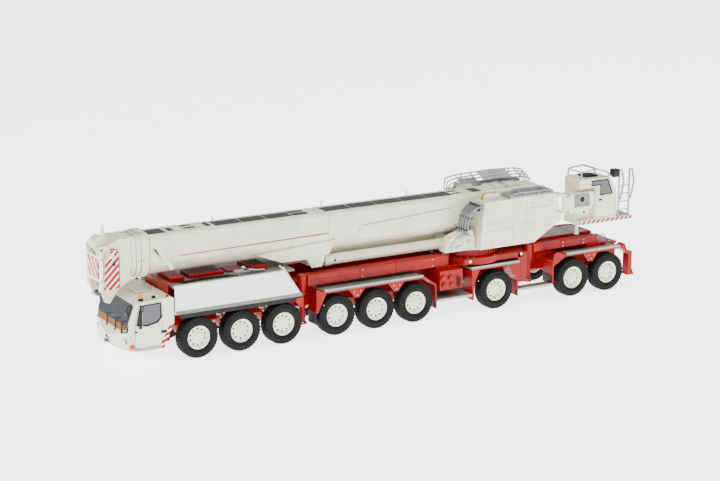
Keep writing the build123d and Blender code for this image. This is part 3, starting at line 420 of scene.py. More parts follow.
def striped(name, light, dark, pitch_mm, lean, plane, share=0.41):
    """Two enamels in even slanting bars: the bar is chosen by the fraction of
    (across + lean * up) / pitch in the named plane, where share is the light part."""
    material = coat(name, light, light, 0.4, 0.15, 0.35, Specular_IOR_Level=0.25)
    tree = material.node_tree
    axes = object_axes(tree)
    slant = maths(tree, "MULTIPLY_ADD", axes["Z"], lean, axes[plane])
    part = maths(tree, "FRACT", maths(tree, "DIVIDE", slant, pitch_mm * MM))
    two_toned(tree, maths(tree, "GREATER_THAN", part, share), light, dark)
    return material


def meshed(name, light, dark, pitch_mm, planes, bar=0.38, **fixed):
    """A printed grid: light and raised where the fraction of either of two axes over the
    pitch is below bar."""
    material = coat(name, light, dark, 0.3, 0.2, 0.45, **fixed)
    tree = material.node_tree
    axes = object_axes(tree)
    bars = [maths(tree, "LESS_THAN", maths(tree, "FRACT", maths(tree, "DIVIDE", axes[p], pitch_mm * MM)), bar)
            for p in planes]
    either = maths(tree, "MAXIMUM", *bars)
    two_toned(tree, either, dark, light)
    relief = node(tree, "ShaderNodeBump", {"Strength": 0.6, "Distance": 0.2 * MM}, {"Height": either})
    tree.links.new(relief.outputs["Normal"], tree.nodes["Principled BSDF"].inputs["Normal"])
    return material


def finishes():
    """Every finish of the model, by name."""
    c, sizes = bpy.context.scene.crane_colours, bpy.context.scene.crane_sizes
    cream, red, grey = ("#" + "".join(f"{round(x * 255):02x}" for x in v) for v in (c.cream, c.red, c.grey))
    pitch = sizes.stripe / MM
    soft, dull = {"Specular_IOR_Level": 0.25}, {"Specular_IOR_Level": 0.2}
    return {
        # Sprayed enamel on die-cast zinc: an even gloss with a faint ripple.
        "cream": coat("cream_enamel_on_diecast", cream, "#d2d0b6", 0.5, 0.12, 0.3, 0.05, Coat_Weight=0.25),
        # The white enamel also serves as a painted highlight on the boom head's front posts.
        "white": coat("white_enamel_on_diecast", "#f4f2ea", "#eeece2", 0.5, 0.1, 0.3, 0.05, Coat_Weight=0.25),
        "wheel": coat("cream_enamel_on_wheel", "#efecdb", "#e4e0cc", 0.4, 0.15, 0.35, 0.05, Coat_Weight=0.2),
        "red": coat("red_enamel_on_diecast", red, "#780302", 0.5, 0.12, 0.34, 0.06, Specular_IOR_Level=0.22),
        # The same red with a clear gloss over a darker ground, as on the wide rear deck.
        "wine": coat("gloss_dark_red_deck", "#4e0a0d", "#3f070a", 0.6, 0.08, 0.14, 0.04, Coat_Weight=0.8),
        # Moulded soft PVC tyre: dull, nearly black, with a fine skin.
        "tyre": coat("moulded_soft_rubber", "#080807", "#050505", 0.25, 0.5, 0.68, 0.06, **dull),
        # Printed anti-slip deck: a warm grey with a fine raised grit, drawn coarse enough to show.
        "deck": coat("grit_deck_print", grey, "#625e5a", 0.35, 0.8, 0.6, 0.08),
        "edge": coat("silver_edge_print", "#a9aaa9", "#979998", 0.3, 0.2, 0.4, 0.05, Metallic=0.2),
        # Injection-moulded ABS, painted silver-grey: rails, grids and hoses.
        "rail": coat("silver_grey_abs", "#9c9e9e", "#858788", 0.3, 0.3, 0.4, 0.07, Metallic=0.25),
        "hose": coat("silver_grey_vinyl_hose", "#8b8d8f", "#6b6e71", 0.35, 0.5, 0.38, 0.08, Metallic=0.3),
        "pad": coat("dark_grey_nylon_pad", "#35373a", "#2b2d30", 0.3, 0.4, 0.55, 0.05, **soft),
        "black": coat("black_satin_abs", "#0d0d0c", "#080808", 0.3, 0.3, 0.45, 0.08, **soft),
        "steel": coat("turned_steel", "#c4c5c3", "#a9aaa9", 0.2, 0.2, 0.26, 0.06, Metallic=0.9),
        "chrome": coat("plated_bolt_head", "#e8e9ea", "#d6d8da", 0.2, 0.1, 0.14, 0.04, Metallic=1.0),
        "amber": coat("amber_clear_styrene", "#e27a00", "#cf6a00", 0.4, 0.1, 0.18, 0.04, **soft),
        "orange": coat("orange_lamp_enamel", "#d23c00", "#bd3200", 0.4, 0.1, 0.3, 0.04, **dull),
        "ochre": coat("ochre_print_on_glass", "#8a5004", "#744002", 0.5, 0.1, 0.3, 0.04, **dull),
        "lime": coat("lime_nylon_wheel", "#a9ad2c", "#8f931e", 0.4, 0.2, 0.4, 0.05),
        "lens": coat("clear_lamp_styrene", "#e9eced", "#d4d9db", 0.3, 0.2, 0.15, 0.04, Coat_Weight=0.7),
        # Smoked styrene glazing, solid and dark, with a wet gloss.
        "glass": coat("smoked_styrene_glazing", "#262d36", "#161c24", 3.0, 0.03, 0.1, 0.03, Coat_Weight=0.7),
        "lamp_red": coat("red_lamp_styrene", "#9a0604", "#7c0403", 0.4, 0.1, 0.22, 0.04, Coat_Weight=0.5),
        # Masked and sprayed warning bars, red over white.
        "bars_up": striped("warning_bars_rising", "#efece0", "#940402", 1.35 * pitch, 1.0, "X"),
        "bars_front": striped("warning_bars_front", "#eceaea", "#b8141c", 1.75 * pitch, 0.85, "Y"),
        "bars_edge": striped("warning_bars_cab_edge", "#efece0", "#940402", 2.9 * pitch, 2.8, "X"),
        "bars_sill": striped("warning_bars_sill", "#efece0", "#940402", 1.25 * pitch, 1.1, "X"),
        # Etched walkway grid: bright bars over dark gaps, as coarse as the model's print.
        "grid": meshed("silver_walkway_grid", "#8e9091", "#3a3d40", 1.6, "XY", Metallic=0.2),
        "grille": meshed("grey_vent_grille", "#8f9191", "#43464a", 0.9, "XZ", Metallic=0.2),
    }


# ---------------------------------------------------------------- sizes and colours
class CraneColours(PropertyGroup):
    cream: FloatVectorProperty(name="Cream", description="Enamel of cab, boom and housings, sRGB",
                               default=(0.890, 0.888, 0.785), subtype="COLOR_GAMMA", min=0, max=1)
    red: FloatVectorProperty(name="Red", description="Enamel of the chassis, sRGB",
                             default=(0.58, 0.010, 0.007), subtype="COLOR_GAMMA", min=0, max=1)
    grey: FloatVectorProperty(name="Deck grey", description="Print on decks and walkways, sRGB",
                              default=(0.47, 0.45, 0.43), subtype="COLOR_GAMMA", min=0, max=1)


class CraneSizes(PropertyGroup):
    stripe: FloatProperty(name="Stripe pitch", description="Width of one red and one white warning bar",
                          default=3.6 * MM, min=1 * MM, max=10 * MM, unit="LENGTH")
    tread_depth: FloatProperty(name="Tread depth", description="Depth of the tyre's grooves",
                               default=0.4 * MM, min=0.1 * MM, max=0.6 * MM, unit="LENGTH")
    tread_blocks: IntProperty(name="Tread blocks", description="Shoulder blocks round a tyre",
                              default=36, min=12, max=60)
    wheel_holes: IntProperty(name="Wheel holes", description="Vent holes in a wheel disc",
                             default=10, min=4, max=16)


CAD_FINISH = {
    "chassis_frame": "red", "slewing_ring": "red", "fenders": "red", "walkways": "deck",
    "side_panels": "white", "deck_fittings": "rail", "carrier_cab_shell": "cream",
    "carrier_cab_glass": "glass", "carrier_cab_interior": "black", "axle_beams_fixed": "red",
    "turntable_frame": "cream", "side_housings": "cream", "platform_railings": "rail",
    "boom_base": "cream", "boom_section_1": "cream", "boom_section_2": "cream", "boom_head": "cream",
    "head_sheaves": "cream", "lift_barrels": "cream", "lift_rods": "steel", "crane_cab_arm": "cream",
    "crane_cab_shell": "cream", "crane_cab_glass": "glass", "crane_cab_interior": "pad",
    "crane_cab_railing": "rail", "winches": "cream", "hose_bundle": "hose",
    "carrier_lamps": "amber", "carrier_mirrors": "black",
}
CAD_KINDS = {"tyres": "tyre", "rims": "wheel", "axle_beam": "red", "outrigger_arm": "red",
             "outrigger_leg": "red"}


class CRANE_OT_paint(Operator):
    """Gives every CAD piece its finish"""
    bl_idname = "crane.paint"
    bl_label = "Paint the frame"

    def execute(self, context):
        PAINT.update(finishes())
        for name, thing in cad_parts.items():
            kind = next((k for k in CAD_KINDS if name.startswith(k)), None)
            finish = CAD_FINISH[name] if name in CAD_FINISH else CAD_KINDS[kind]
            thing.data.materials.clear()
            thing.data.materials.append(PAINT[finish])
        return {"FINISHED"}


class CRANE_OT_wheels(Operator):
    """Dresses the wheels: treaded tyres and discs with vent holes, nuts and hub caps.

    Tyre: radius = profile radius less a groove that is deep where the fraction of
    blocks * angle / turn is below 0.3. Disc: height = profile height less a pit, a cup
    round each of the evenly spaced hole centres."""
    bl_idname = "crane.wheels"
    bl_label = "Wheels"

    def execute(self, context):
        sizes = context.scene.crane_sizes
        tyre, disc, nuts, dark = self.tyre(sizes), *self.disc(sizes.wheel_holes)
        for number, x in enumerate(AXLE_X, 1):
            step = (x, 0, TYRE_R)
            piece(f"tyre_tread_{number}", f"wheels_{number}", (moved(tyre, step), "tyre"),
                  hides=(f"tyres_{number}",), slot="tyre_rubber")
            # The black on the disc's hole floors is painted shade in the vent holes.
            piece(f"wheel_disc_{number}", f"wheels_{number}",
                  (moved(disc, step), ("wheel", "black"), dark),
                  (moved(nuts, step), "wheel"), hides=(f"rims_{number}",), slot="cream_paint")
        return {"FINISHED"}

    def tyre(self, sizes):
        """Both tyres of an axle: sidewall with its beads, shoulder blocks and a middle row."""
        half, deep, blocks = TYRE_W / 2, sizes.tread_depth / MM, sizes.tread_blocks
        row, shoulder = 1.4, 1.2
        wall = [(RIM_R + 0.03, half - 0.85), (RIM_R + 0.35, half - 0.62), (RIM_R + 0.7, half - 0.5),
                (RIM_R + 0.95, half - 0.58), (RIM_R + 1.5, half - 0.25), (RIM_R + 2.4, half - 0.04),
                (RIM_R + 3.4, half - 0.02), (RIM_R + 4.3, half - 0.12), (RIM_R + 4.55, half - 0.3),
                (RIM_R + 4.8, half - 0.16), (TYRE_R - 0.9, half - 0.2), (TYRE_R - 0.35, half - 0.45),
                (TYRE_R - 0.1, half - 0.9), (TYRE_R, half - 1.5)]
        crown = [(TYRE_R, 2.1), (TYRE_R - deep, 1.95), (TYRE_R - deep, 1.6), (TYRE_R, 1.45),
                 (TYRE_R, 0.25), (TYRE_R - deep, 0.15)]
        outer = np.array(wall + crown)
        bead = [(RIM_R + 0.03, y) for y in np.linspace(half - 1.2, 1.2 - half, 3)]
        profile = np.vstack([outer * (1, -1), outer[::-1], bead])

        def grooves(r, y, a):
            share = (blocks * a / (2 * pi) + 0.25 * np.sign(y)) % 1
            side = (share < 0.3) & (np.abs(y) > row) & (r > TYRE_R - shoulder)
            middle_row = (share > 0.42) & (share < 0.6) & (np.abs(y) < row) & (r > TYRE_R - 0.1)
            return -deep * (side | middle_row), 0 * r

        return pair(lathe(profile, (0, WHEEL_Y, 0), blocks * 5, 1, grooves, loop=True))

    def disc(self, holes):
        """Both discs of an axle with their shaft, the nuts, and a mask of the holes' floors, which are
        painted black as painted shade inside the vent holes.
        """
        lip, holes_r, hole_r, hole_deep, slope = RIM_W / 2, 5.75, 0.74, 0.7, 0.18

        def cone(r):
            return 1.95 - 0.2 * (r - 3.4)

        profile = [(POLE, lip + 0.25), (0.9, lip + 0.2), (1.05, lip - 0.25), (1.9, lip - 0.3),
                   (2.15, lip + 0.28), (2.8, lip + 0.25), (3.1, lip - 0.1), (3.3, 2.1)]
        profile += [(r, cone(r)) for r in np.arange(3.6, 6.5, 0.18)]
        profile += [(6.7, 1.4), (6.9, 1.75), (7.3, 2.2), (7.45, 3.1), (7.6, lip - 0.1), (7.95, lip + 0.02),
                    (8.3, lip - 0.05), (RIM_R - 0.02, lip - 0.3), (RIM_R - 0.02, 0.3 - lip),
                    (RIM_R - 0.1, -lip), (7.7, -lip), (7.0, 0.0), (1.5, 0.0), (POLE, -0.02)]

        def pits(r, y, a):
            turn = 2 * pi / holes
            off = (a + turn / 2) % turn - turn / 2
            away = np.hypot(r - holes_r, holes_r * off)
            inside = (y > 1.2) & (y < 2.0)
            return 0 * r, -hole_deep * np.clip((hole_r - away) / slope, 0, 1) * inside

        both = pair(lathe(profile[::-1], (0, WHEEL_Y, 0), 160, 1, pits))
        centre = np.array([both[0][face].mean(0) for face in both[1]])
        r = np.hypot(centre[:, 0], centre[:, 2])
        height = np.abs(centre[:, 1]) - WHEEL_Y
        # The pits' floors get the black: painted shade standing for the dark inside of open vent holes.
        dark = (r > 5.1) & (r < 6.4) & (height > 0.4) & (height < cone(r) - 0.3)
        shaft = lathe([(POLE, -WHEEL_Y), (1.5, -WHEEL_Y), (1.5, WHEEL_Y), (POLE, WHEEL_Y)], (0, 0, 0), 24, 1)
        nuts = []
        for count, radius, size, base in ((10, 4.35, 0.34, 1.7), (8, 2.48, 0.2, lip + 0.15)):
            for a in np.linspace(0, 2 * pi, count, endpoint=False) + 0.3:
                nut = prism(size * np.array([(cos(b), sin(b)) for b in np.arange(6) * pi / 3]),
                            WHEEL_Y + base, WHEEL_Y + base + size, 1, 0.08)
                nuts.append(moved(nut, (radius * cos(a), 0, radius * sin(a))))
        dark = np.concatenate([dark, np.zeros(len(shaft[1]), bool)])
        return joined(both, shaft), pair(*nuts), dark


# ---------------------------------------------------------------- shared details
def cab_face(y, z):
    """The station of the driver's cab's front skin: the rearmost of its side profile at
    height z and its plan at side y."""
    heights, at_height = (19.0, 24.8, 44.2, 45.4), (CAB_FRONT, -53.2, -46.4, -43.6)
    sides, at_side = (0, 13.0, 23.6, 27.2, 28.6), (CAB_FRONT, -54.8, -52.6, -49.4, -45.0)
    return max(np.interp(z, heights, at_height), np.interp(abs(y), sides, at_side))


def ribbon(place, ys, z0, z1, thick):
    """A thin band across the vehicle's front: at each side y a small oblong section stands
    thick proud of place(y, z)."""
    rings = []
    for y in ys:
        low, high = at(place(y, z0)), at(place(y, z1))
        rings.append([(low - 0.1, y, z0), (high - 0.1, y, z1), (high + thick, y, z1), (low + thick, y, z0)])
    return lofted(rings)


def ring(s, y, z, axis, r_in, r_out, high, count=32):
    """A flat washer standing along an axis: its section, a chamfered oblong, turned once."""
    edge = min(0.15, high / 3)
    profile = [(r_in, 0), (r_out, 0), (r_out, high - edge), (r_out - edge, high), (r_in + edge, high),
               (r_in, high - edge)]
    return lathe(profile, (at(s), y, z), count, axis, loop=True)


def seam(outline, y, r=0.13):
    """A dark groove line round a closed (station, height) outline on a side skin."""
    return gasket(outline, lambda u, v: (u, y, v), r)


# ---------------------------------------------------------------- boom
class CRANE_OT_boom(Operator):
    """Boom: walking pads, stripe, crease, rear skin, guide pads and collar bolts.

    The crease lies on the round belly: y = sqrt(R^2 - (centre - z)^2)."""
    bl_idname = "crane.boom"
    bl_label = "Boom details"

    def execute(self, context):
        half, top = BOOM_HALF, BOOM_TOP
        skin_y, low, high = half + 0.5, top - 0.1, top + 0.4
        # (front, rear, left, right) of the odd pads, then the even row of long ones.
        pads = [(-27.7, -13.8, -3.5, 7.8), (-10.2, -6.4, -2, 5), (1.5, 10, -4.2, -2), (1.5, 10, 2.2, 4.6),
                (18.8, 22.1, -4, 5), (85.8, 98, -4.3, -0.8), (85.8, 98, 2, 7.7), (222, 228, -3.8, -1.8),
                (222, 228, 3.4, 5.4), (238.5, 246, -3.5, 7.6)]
        pads += [(a, b, -3.6, 7.7) for a, b in ((24.8, 45.0), (46.2, 64.3), (65.5, 84.6), (111.8, 132.8),
                 (134.0, 154.6), (155.8, 176.7), (177.9, 198.2), (199.4, 219.6))]
        piece("boom_pads", "boom_base", (slabs(*[(*pad, low, high) for pad in pads]), "pad"))

        stripe = side_plate([(-5, 69.4), (112, 70.7), (112, 71.6), (-5, 70.0)], half - 0.1, half + 0.08, 0.03)
        piece("boom_stripe", "boom_base", (pair(stripe), "red"))

        z = np.linspace(66.0, 63.4, 12)
        y = np.sqrt(half ** 2 - (BOOM_CENTRE - z) ** 2)
        crease = tube(list(zip(np.linspace(2.7, 58.5, 12), y, z)), 0.2, 6)
        skin = side_plate([(126, 68.2), (129, 75.4), (140.5, 73.6), (215.8, 77.6), (231, 78.4), (231, 64.5),
                           (215, 63.2), (140, 63.2)], half - 1.9, skin_y, 0.25)
        hatch = side_plate([(194.2, 74.1), (218.1, 75.2), (218.1, 67.0), (194.2, 66.4)], half + 0.4,
                           half + 0.75, 0.15)
        gusset = side_plate([(-25.2, 77.5), (-23.6, 77.5), (-15.8, 64.6), (-17.6, 63.6)],
                            half - 0.5, half + 0.9)
        eye = ring(ROD_EYE_S, half + 1.5, ROD_Z, 1, 2.6, 3.0, 1.0, 36)
        seams = [tube([(s0, y, z0), (s1, y, z1)], 0.12, 6) for s0, s1, y, z0, z1 in (
            (140.5, 190.0, skin_y, 73.6, 76.2), (193.0, 215.8, skin_y, 76.4, 77.6),
            (112.6, 112.6, half, 67.0, 83.0), (196.0, 228.0, skin_y, 64.0, 65.2))]
        piece("boom_skins", "boom_base", (pair(crease, skin, hatch, gusset, eye), "cream"),
              (pair(*seams), "pad"))

        box = slabs((256.0, 270.0, -7.2, 7.2, 86.3, 87.9, 0.3), (272.0, 282.0, -4.0, 6.5, 86.3, 88.6, 0.4))
        bars = [tube([(s, -7.6, 86.6), (s, -7.6, 88.8), (s, 7.6, 88.8), (s, 7.6, 86.6)], 0.4, 8, 0.8)
                for s in (258.0, 268.0)]
        piece("boom_rear_box", "boom_base", (box, "cream"), (bars, "rail"))
        dots = [button(-13.1, half - 0.1, 66.6, 1, 0.75, 0.25), button(137.5, half + 0.4, 70.4, 1, 0.6, 0.3)]
        heads = [bolt(s, half + 1.4, z, 1, 0.5, 0.45) for s, z in ((-32.6, 80), (-32.6, 72), (-29.6, 80))]
        heads += bolt_circle(ROD_EYE_S, half + 2.5, ROD_Z, 1.8, 6, 0.35, 0.35)
        heads += bolt_circle(PIVOT_S, half, PIVOT_Z, 5.2, 6, 0.45, 0.5)
        piece("boom_bolts", "boom_base", (pair(*heads), "steel"), (pair(*dots), "black"))

        # The collars: key plates, a rubber joint round the section, and pins, at each front end.
        key_z, key_high = 69.2, 1.4
        for body, back, out, wide in (("boom_base", 0.0, 1.5, 5.0), ("boom_section_1", 3.5, 1.0, 2.4),
                                      ("boom_section_2", 7.0, 0.5, 2.4)):
            front, top, r = BASE_FRONT - back, BOOM_TOP + out, half + out + 0.02
            s0, s1 = front + 0.5, front + 0.5 + wide * 0.3
            keys = [slab(front + 0.4, front + 0.4 + wide * 0.5, y, y + 1.6, top - 0.1, top + 0.25)
                    for y in (-6.0, 4.4)]
            keys += [side_plate([(s0, key_z), (s1, key_z), (s1, key_z + key_high), (s0, key_z + key_high)],
                                side * (half + out - 0.1), side * (half + out + 0.15)) for side in (1, -1)]
            pins = [bolt(front + 1.3, y, top - 0.05, 2, 0.35, 0.35) for y in (1.4, 7.4, -1.4, -7.4)]
            hull = [(r * cos(a), BOOM_CENTRE + r * sin(a)) for a in np.linspace(0, -pi, 25)]
            hull += [(-r, top - 3.4), (-r + 3.2, top + 0.05), (r - 3.2, top + 0.05), (r, top - 3.4)]
            joint = gasket(hull, lambda y, z, s=front + wide + 0.9: (s, y, z), 0.17)
            piece(f"{body}_guides", body, (keys, "lime"), (pins, "steel"), (joint, "pad"))
        return {"FINISHED"}


class CRANE_OT_head(Operator):
    """Boom head: striped guards with their slots, the striped front panel in its white frame, whose posts are
    drawn white rather than cream as a painted highlight on the cheeks' lit front edges, bosses, sheave cover,
    lugs and the small top bracket"""
    bl_idname = "crane.head"
    bl_label = "Boom head"

    def execute(self, context):
        guard = side_plate([(-50.9, 79.4), (-56.2, 79.9), (-61.2, 70.9), (-62.0, 52.4), (-51.0, 53.4)],
                           12.1, 12.5, 0.08)
        slot = side_plate(rounded(1.6, 3.4, 0.6, (-54.3, 70.7)), 12.4, 12.65, 0.05)
        piece("head_guards", "boom_head", (pair(guard), "bars_up"), (pair(slot), "black"))

        panel = front_plate([(-8.2, 73.8), (8.6, 73.4), (8.2, 60.2), (-7.8, 60.2)], -64.7, -64.1, 0.12)
        # The posts are the cheeks' front edges. They take the white enamel instead of the cream as a painted
        # highlight where they face the light.
        posts = pair(front_plate([(10.2, 53.0), (12.6, 53.0), (12.6, 77.0), (10.2, 80.4)], -64.4, -62.6),
                     slab(-64.2, -62.8, 8.0, 12.6, 51.2, 53.4))
        bars = joined(*[front_plate([(-12.6, z1), (12.6, z1), (12.6, z0), (-12.6, z0)], -64.3, -63.1)
                        for z0, z1 in ((73.8, 75.6), (58.2, 60.2))])
        arms = rows(slab(-64.0, -50.0, -0.6, 0.6, 62.0, 71.0), ((0, -9.9, 0), (0, 9.9, 0)))
        piece("head_front", "boom_head", (panel, "bars_front"), ([posts, bars, arms], "white"))

        cover = lathe([(POLE, -5.2), (4.0, -5.2), (5.0, -4.6), (5.0, -1.2), (4.4, -0.8), (4.4, 0.8),
                       (5.0, 1.2), (5.0, 4.6), (4.0, 5.2), (POLE, 5.2)], (at(-60.4), 0, 83.4), 40, 1)
        feet = pair(side_plate([(-63.4, 84.4), (-57.0, 85.0), (-53.0, 82.0), (-60.0, 74.0)], 5.4, 6.4))
        nose = slabs((-60.4, -57.8, -9.3, 9.3, 45.4, 47.6), (-59.6, -58.4, -2.2, -1.2, 43.0, 46.0),
                     (-59.6, -58.4, 1.2, 2.2, 43.0, 46.0))
        bracket = joined(side_plate([(-58.6, 84.0), (-54.6, 85.4), (-56.2, 95.2), (-58.0, 95.2)], -0.5, 0.5),
                         slab(-59.4, -53.6, -2.2, 2.2, 84.2, 86.4))
        piece("head_cover", "boom_head", ([cover, feet], "cream"), (nose, "pad"), (bracket, "white"))

        upper = (-56.0, 12.1, 76.2)
        rims = pair(ring(HEAD_S, 13.3, HEAD_Z, 1, 1.1, 2.0, 0.3), ring(-55.4, 10.7, 61.0, 1, 0.9, 2.4, 0.6),
                    ring(*upper, 1, 0.8, 1.8, 0.7))
        pins = pair(button(HEAD_S, 13.2, HEAD_Z, 1, 1.1, 0.2), button(*upper, 1, 0.85, 0.8),
                    *[bolt(s, 12.4, z, 1, 0.38, 0.35) for s, z in ((-52, 55), (-60.6, 55), (-52, 77.6))])
        # A black bead along the guard's top and rear edges.
        guard_edge_bead = [(s, 12.0, z) for s, z in ((-57.0, 80.6), (-52.0, 80.2), (-50.5, 77.0), (-50.5, 53.6))]
        hole = pair(button(-62.0, 9.3, 80.0, 1, 1.0, 0.2), tube(guard_edge_bead, 0.35, 8, 2.0))
        piece("head_pins", "boom_head", (rims, "white"), (pins, "steel"), (hole, "black"))
        return {"FINISHED"}


# ---------------------------------------------------------------- driver's cab
class CRANE_OT_cab(Operator):
    """Driver's cab: window rubbers, wipers, door seams, handles, striped rear edges, sills
    and roof fittings"""
    bl_idname = "crane.cab"
    bl_label = "Driver's cab"

    def execute(self, context):
        skin = CAB_HALF
        screen = rounded(50.2, 18.4, 1.6, (0, 33.9))
        front = gasket(screen, lambda y, z: (cab_face(y, z) - 0.05, y, z), 0.55, 8)
        pillars = [ribbon(cab_face, np.linspace(y, y + 2.8, 4), 24.8, 42.8, 0.16) for y in (22.6, -25.4)]
        door = [(-42.8, 43.2), (-28.0, 43.6), (-27.6, 33.6), (-30.4, 30.4), (-38.0, 28.8), (-45.6, 29.8)]
        side = gasket(door, lambda s, z: (s, skin - 0.05, z), 0.6, 8)
        bar = tube([(-40.6, skin - 0.1, 43.0), (-42.6, skin - 0.1, 29.6)], 0.35)
        piece("cab_rubbers", "carrier", ([front, *pillars, pair(side, bar)], "black"))

        band = ribbon(cab_face, np.linspace(-22.5, 22.5, 24), 24.9, 29.0, 0.2)
        piece("cab_screen_band", "carrier", (band, "ochre"))

        arms = []
        for y in (-4.4, 9.7, 20.1):
            rod, blade = ((y, 24.2), (y - 1.2, 26.4), (y - 3.6, 31.0)), ((y - 9.4, 29.6), (y + 1.6, 32.2))
            for line, off, r in ((rod, 0.55, 0.26), (blade, 0.4, 0.22)):
                arms.append(tube([(cab_face(a, z) - off, a, z) for a, z in line], r, 6))
            arms.append(button(cab_face(y, 24.0) + 0.2, y, 24.0, 0, 0.8, 0.9))
        piece("cab_wipers", "carrier", (arms, "black"))

        panel = [(-43.6, 44.3), (-27.0, 44.5), (-26.6, 31.0), (-28.0, 13.8), (-47.8, 13.8), (-47.2, 28.6)]
        roof_hatch = [(-37.0, -7.0), (-25.0, -7.0), (-25.0, 7.0), (-37.0, 7.0)]
        roof_slope, roof_from = 0.0455, 19.4
        on_roof = gasket(roof_hatch, lambda s, y: (s, y, CAB_ROOF + (s + roof_from) * roof_slope), 0.15)
        handles = pair(side_plate(rounded(4.4, 2.0, 0.9, (-26.0, 23.1)), skin + 0.2, skin + 0.6),
                       side_plate(rounded(2.0, 1.2, 0.5, (-46.6, 25.4)), skin - 0.1, skin + 0.2))
        fittings = [pair(slab(-31.8, -29.6, 22.2, 24.0, CAB_ROOF - 0.8, CAB_ROOF + 1.2)),
                    pair(slab(-22.4, -20.8, 24.4, 26.0, CAB_ROOF - 0.6, CAB_ROOF + 0.7))]
        piece("cab_lines", "carrier", ([pair(seam(panel, skin - 0.04)), on_roof], "pad"),
              ([handles, *fittings], "black"))

        edge = side_plate([(-18.3, 27.9), (-21.6, 27.4), (-29.8, 12.2), (-26.0, 11.3)], skin - 0.1,
                          skin + 0.14, 0.05)
        piece("cab_edges", "carrier", (pair(edge), "bars_edge"))

        sill = pair(slab(-48.0, -28.8, skin - 0.6, skin + 0.7, 12.2, 13.2),
                    slab(-46.0, -31.0, skin - 1.8, skin + 0.3, 11.2, 12.3))
        dots = [button(cab_face(y, z) + 0.15, y, z, 0, 0.45, 0.5)
                for y in (-27.0, 27.0) for z in (20.6, 22.6)]
        piece("cab_sills", "carrier", (sill, "edge"), (dots, "black"))

        hatch = slab(-36.4, -25.6, -6.4, 6.4, 45.6, CAB_ROOF + 0.35, 0.3)
        piece("cab_hatch", "carrier", (hatch, "cream"))
        return {"FINISHED"}


class CRANE_OT_lamps(Operator):
    """Lamps: beacons on black stalks, headlamps in bezels, corner, side and tail lamps.

    A beacon's dome is a turned profile: straight wall, then a quarter round."""
    bl_idname = "crane.lamps"
    bl_label = "Lamps and mirrors"

    def execute(self, context):
        dome = [(POLE, 1.2), (1.6, 1.2), (1.6, 3.0)]
        dome += [(1.6 * cos(a), 3.0 + 1.1 * sin(a)) for a in np.linspace(0.2, 1.45, 6)] + [(POLE, 4.1)]
        stalk = [(POLE, -0.3), (1.9, -0.3), (1.9, 0.3), (0.9, 0.5), (0.9, 1.0), (1.8, 1.1), (1.8, 1.5),
                 (POLE, 1.5)]
        foot = (at(-40.4), 23.5, CAB_ROOF - 0.7)
        beacons, stalks = pair(lathe(dome, foot, 24, 2)), pair(lathe(stalk, foot, 24, 2))
        headlamp, tail = (23.0, 18.2), TAIL_S + 2.0
        bezel = pair(front_plate(rounded(4.2, 3.4, 0.8, headlamp), -53.2, -51.4, 0.2))
        lens = pair(front_plate(rounded(3.4, 2.6, 0.7, headlamp), -53.4, -53.0, 0.1))
        corner = pair(side_plate(rounded(3.2, 2.8, 0.6, (-49.6, 15.1)), 27.2, 28.95, 0.2))
        markers = pair(*[side_plate(rounded(2.4, 1.4, 0.4, (s, 29.4)), BODY - 0.1, BODY + 0.45)
                         for s in (15.4, 48.9)])
        boards = pair(front_plate(rounded(6.4, 6.6, 0.6, (26.0, 24.5)), tail - 0.4, tail + 0.1, 0.15))
        tails = pair(*[front_plate(rounded(2.6, 2.8, 0.4, (25.9, z)), tail, tail + 0.4, 0.1)
                       for z in (26.2, 22.9)])
        ambers = pair(front_plate(rounded(1.6, 5.8, 0.4, (28.0, 24.5)), tail, tail + 0.4, 0.1))
        piece("lamp_set", "carrier", (beacons, "amber"), ([stalks, boards], "black"), (bezel, "rail"),
              (lens, "lens"), ([corner, markers, ambers], "orange"), (tails, "lamp_red"),
              hides=("carrier_lamps",), slot="amber_lamp")

        inner, outer = CAB_HALF - 0.1, CAB_HALF + 2.6
        arm = tube([(-43.6, inner, 43.4), (-43.6, outer, 43.4), (-44.6, outer, 28.2), (-44.6, inner, 28.2)],
                   0.36, 8, bend=1.0)

        def mirrors(width, r, edge, *rows):
            """The tall and the wide mirror's bodies or faces, from (height, middle, front, rear) rows."""
            return [prism(rounded(width, high, r, (CAB_HALF + 2.5, z)), at(s1), at(s0), 0, edge)
                    for high, z, s0, s1 in rows]

        heads = mirrors(1.5, 0.6, 0.35, (8.6, 36.4, -45.2, -42.8), (3.6, 29.9, -45.0, -43.0))
        glass = mirrors(1.0, 0.4, 0.05, (7.6, 36.4, -42.9, -42.68), (2.8, 29.9, -43.1, -42.88))
        kerb = joined(tube([(-47.0, 22.0, 43.0), (-50.4, 24.0, 42.4), (-51.4, 25.0, 39.2)], 0.3, 6, bend=1.0),
                      slab(-52.2, -50.6, 23.6, 26.6, 36.8, 39.2, 0.4))
        piece("mirror_set", "carrier", ([pair(arm, *heads), kerb], "black"), (pair(*glass), "lens"),
              hides=("carrier_mirrors",), slot="black_plastic")

        jaw = slabs((-56.0, -50.0, -3.0, 3.0, 12.6, 13.8), (-56.0, -50.0, -3.0, 3.0, 15.8, 17.0),
                    (-53.4, -50.0, -2.6, 2.6, 13.6, 16.0))
        eye = ring(-55.2, 0, 17.0, 2, 0.6, 1.3, 0.8, 20)
        loop = tube([(-56.0, -1.6, 14.8), (-57.2, -1.6, 13.0), (-57.2, 1.6, 13.0), (-56.0, 1.6, 14.8)],
                    0.4, 8, 0.8)
        hook = slab(-52.0, -48.6, -1.2, 1.2, 9.0, 11.6, 0.3)
        piece("tow_coupling", "carrier", (jaw, "red"), ([eye, loop], "black"), (hook, "pad"))
        return {"FINISHED"}


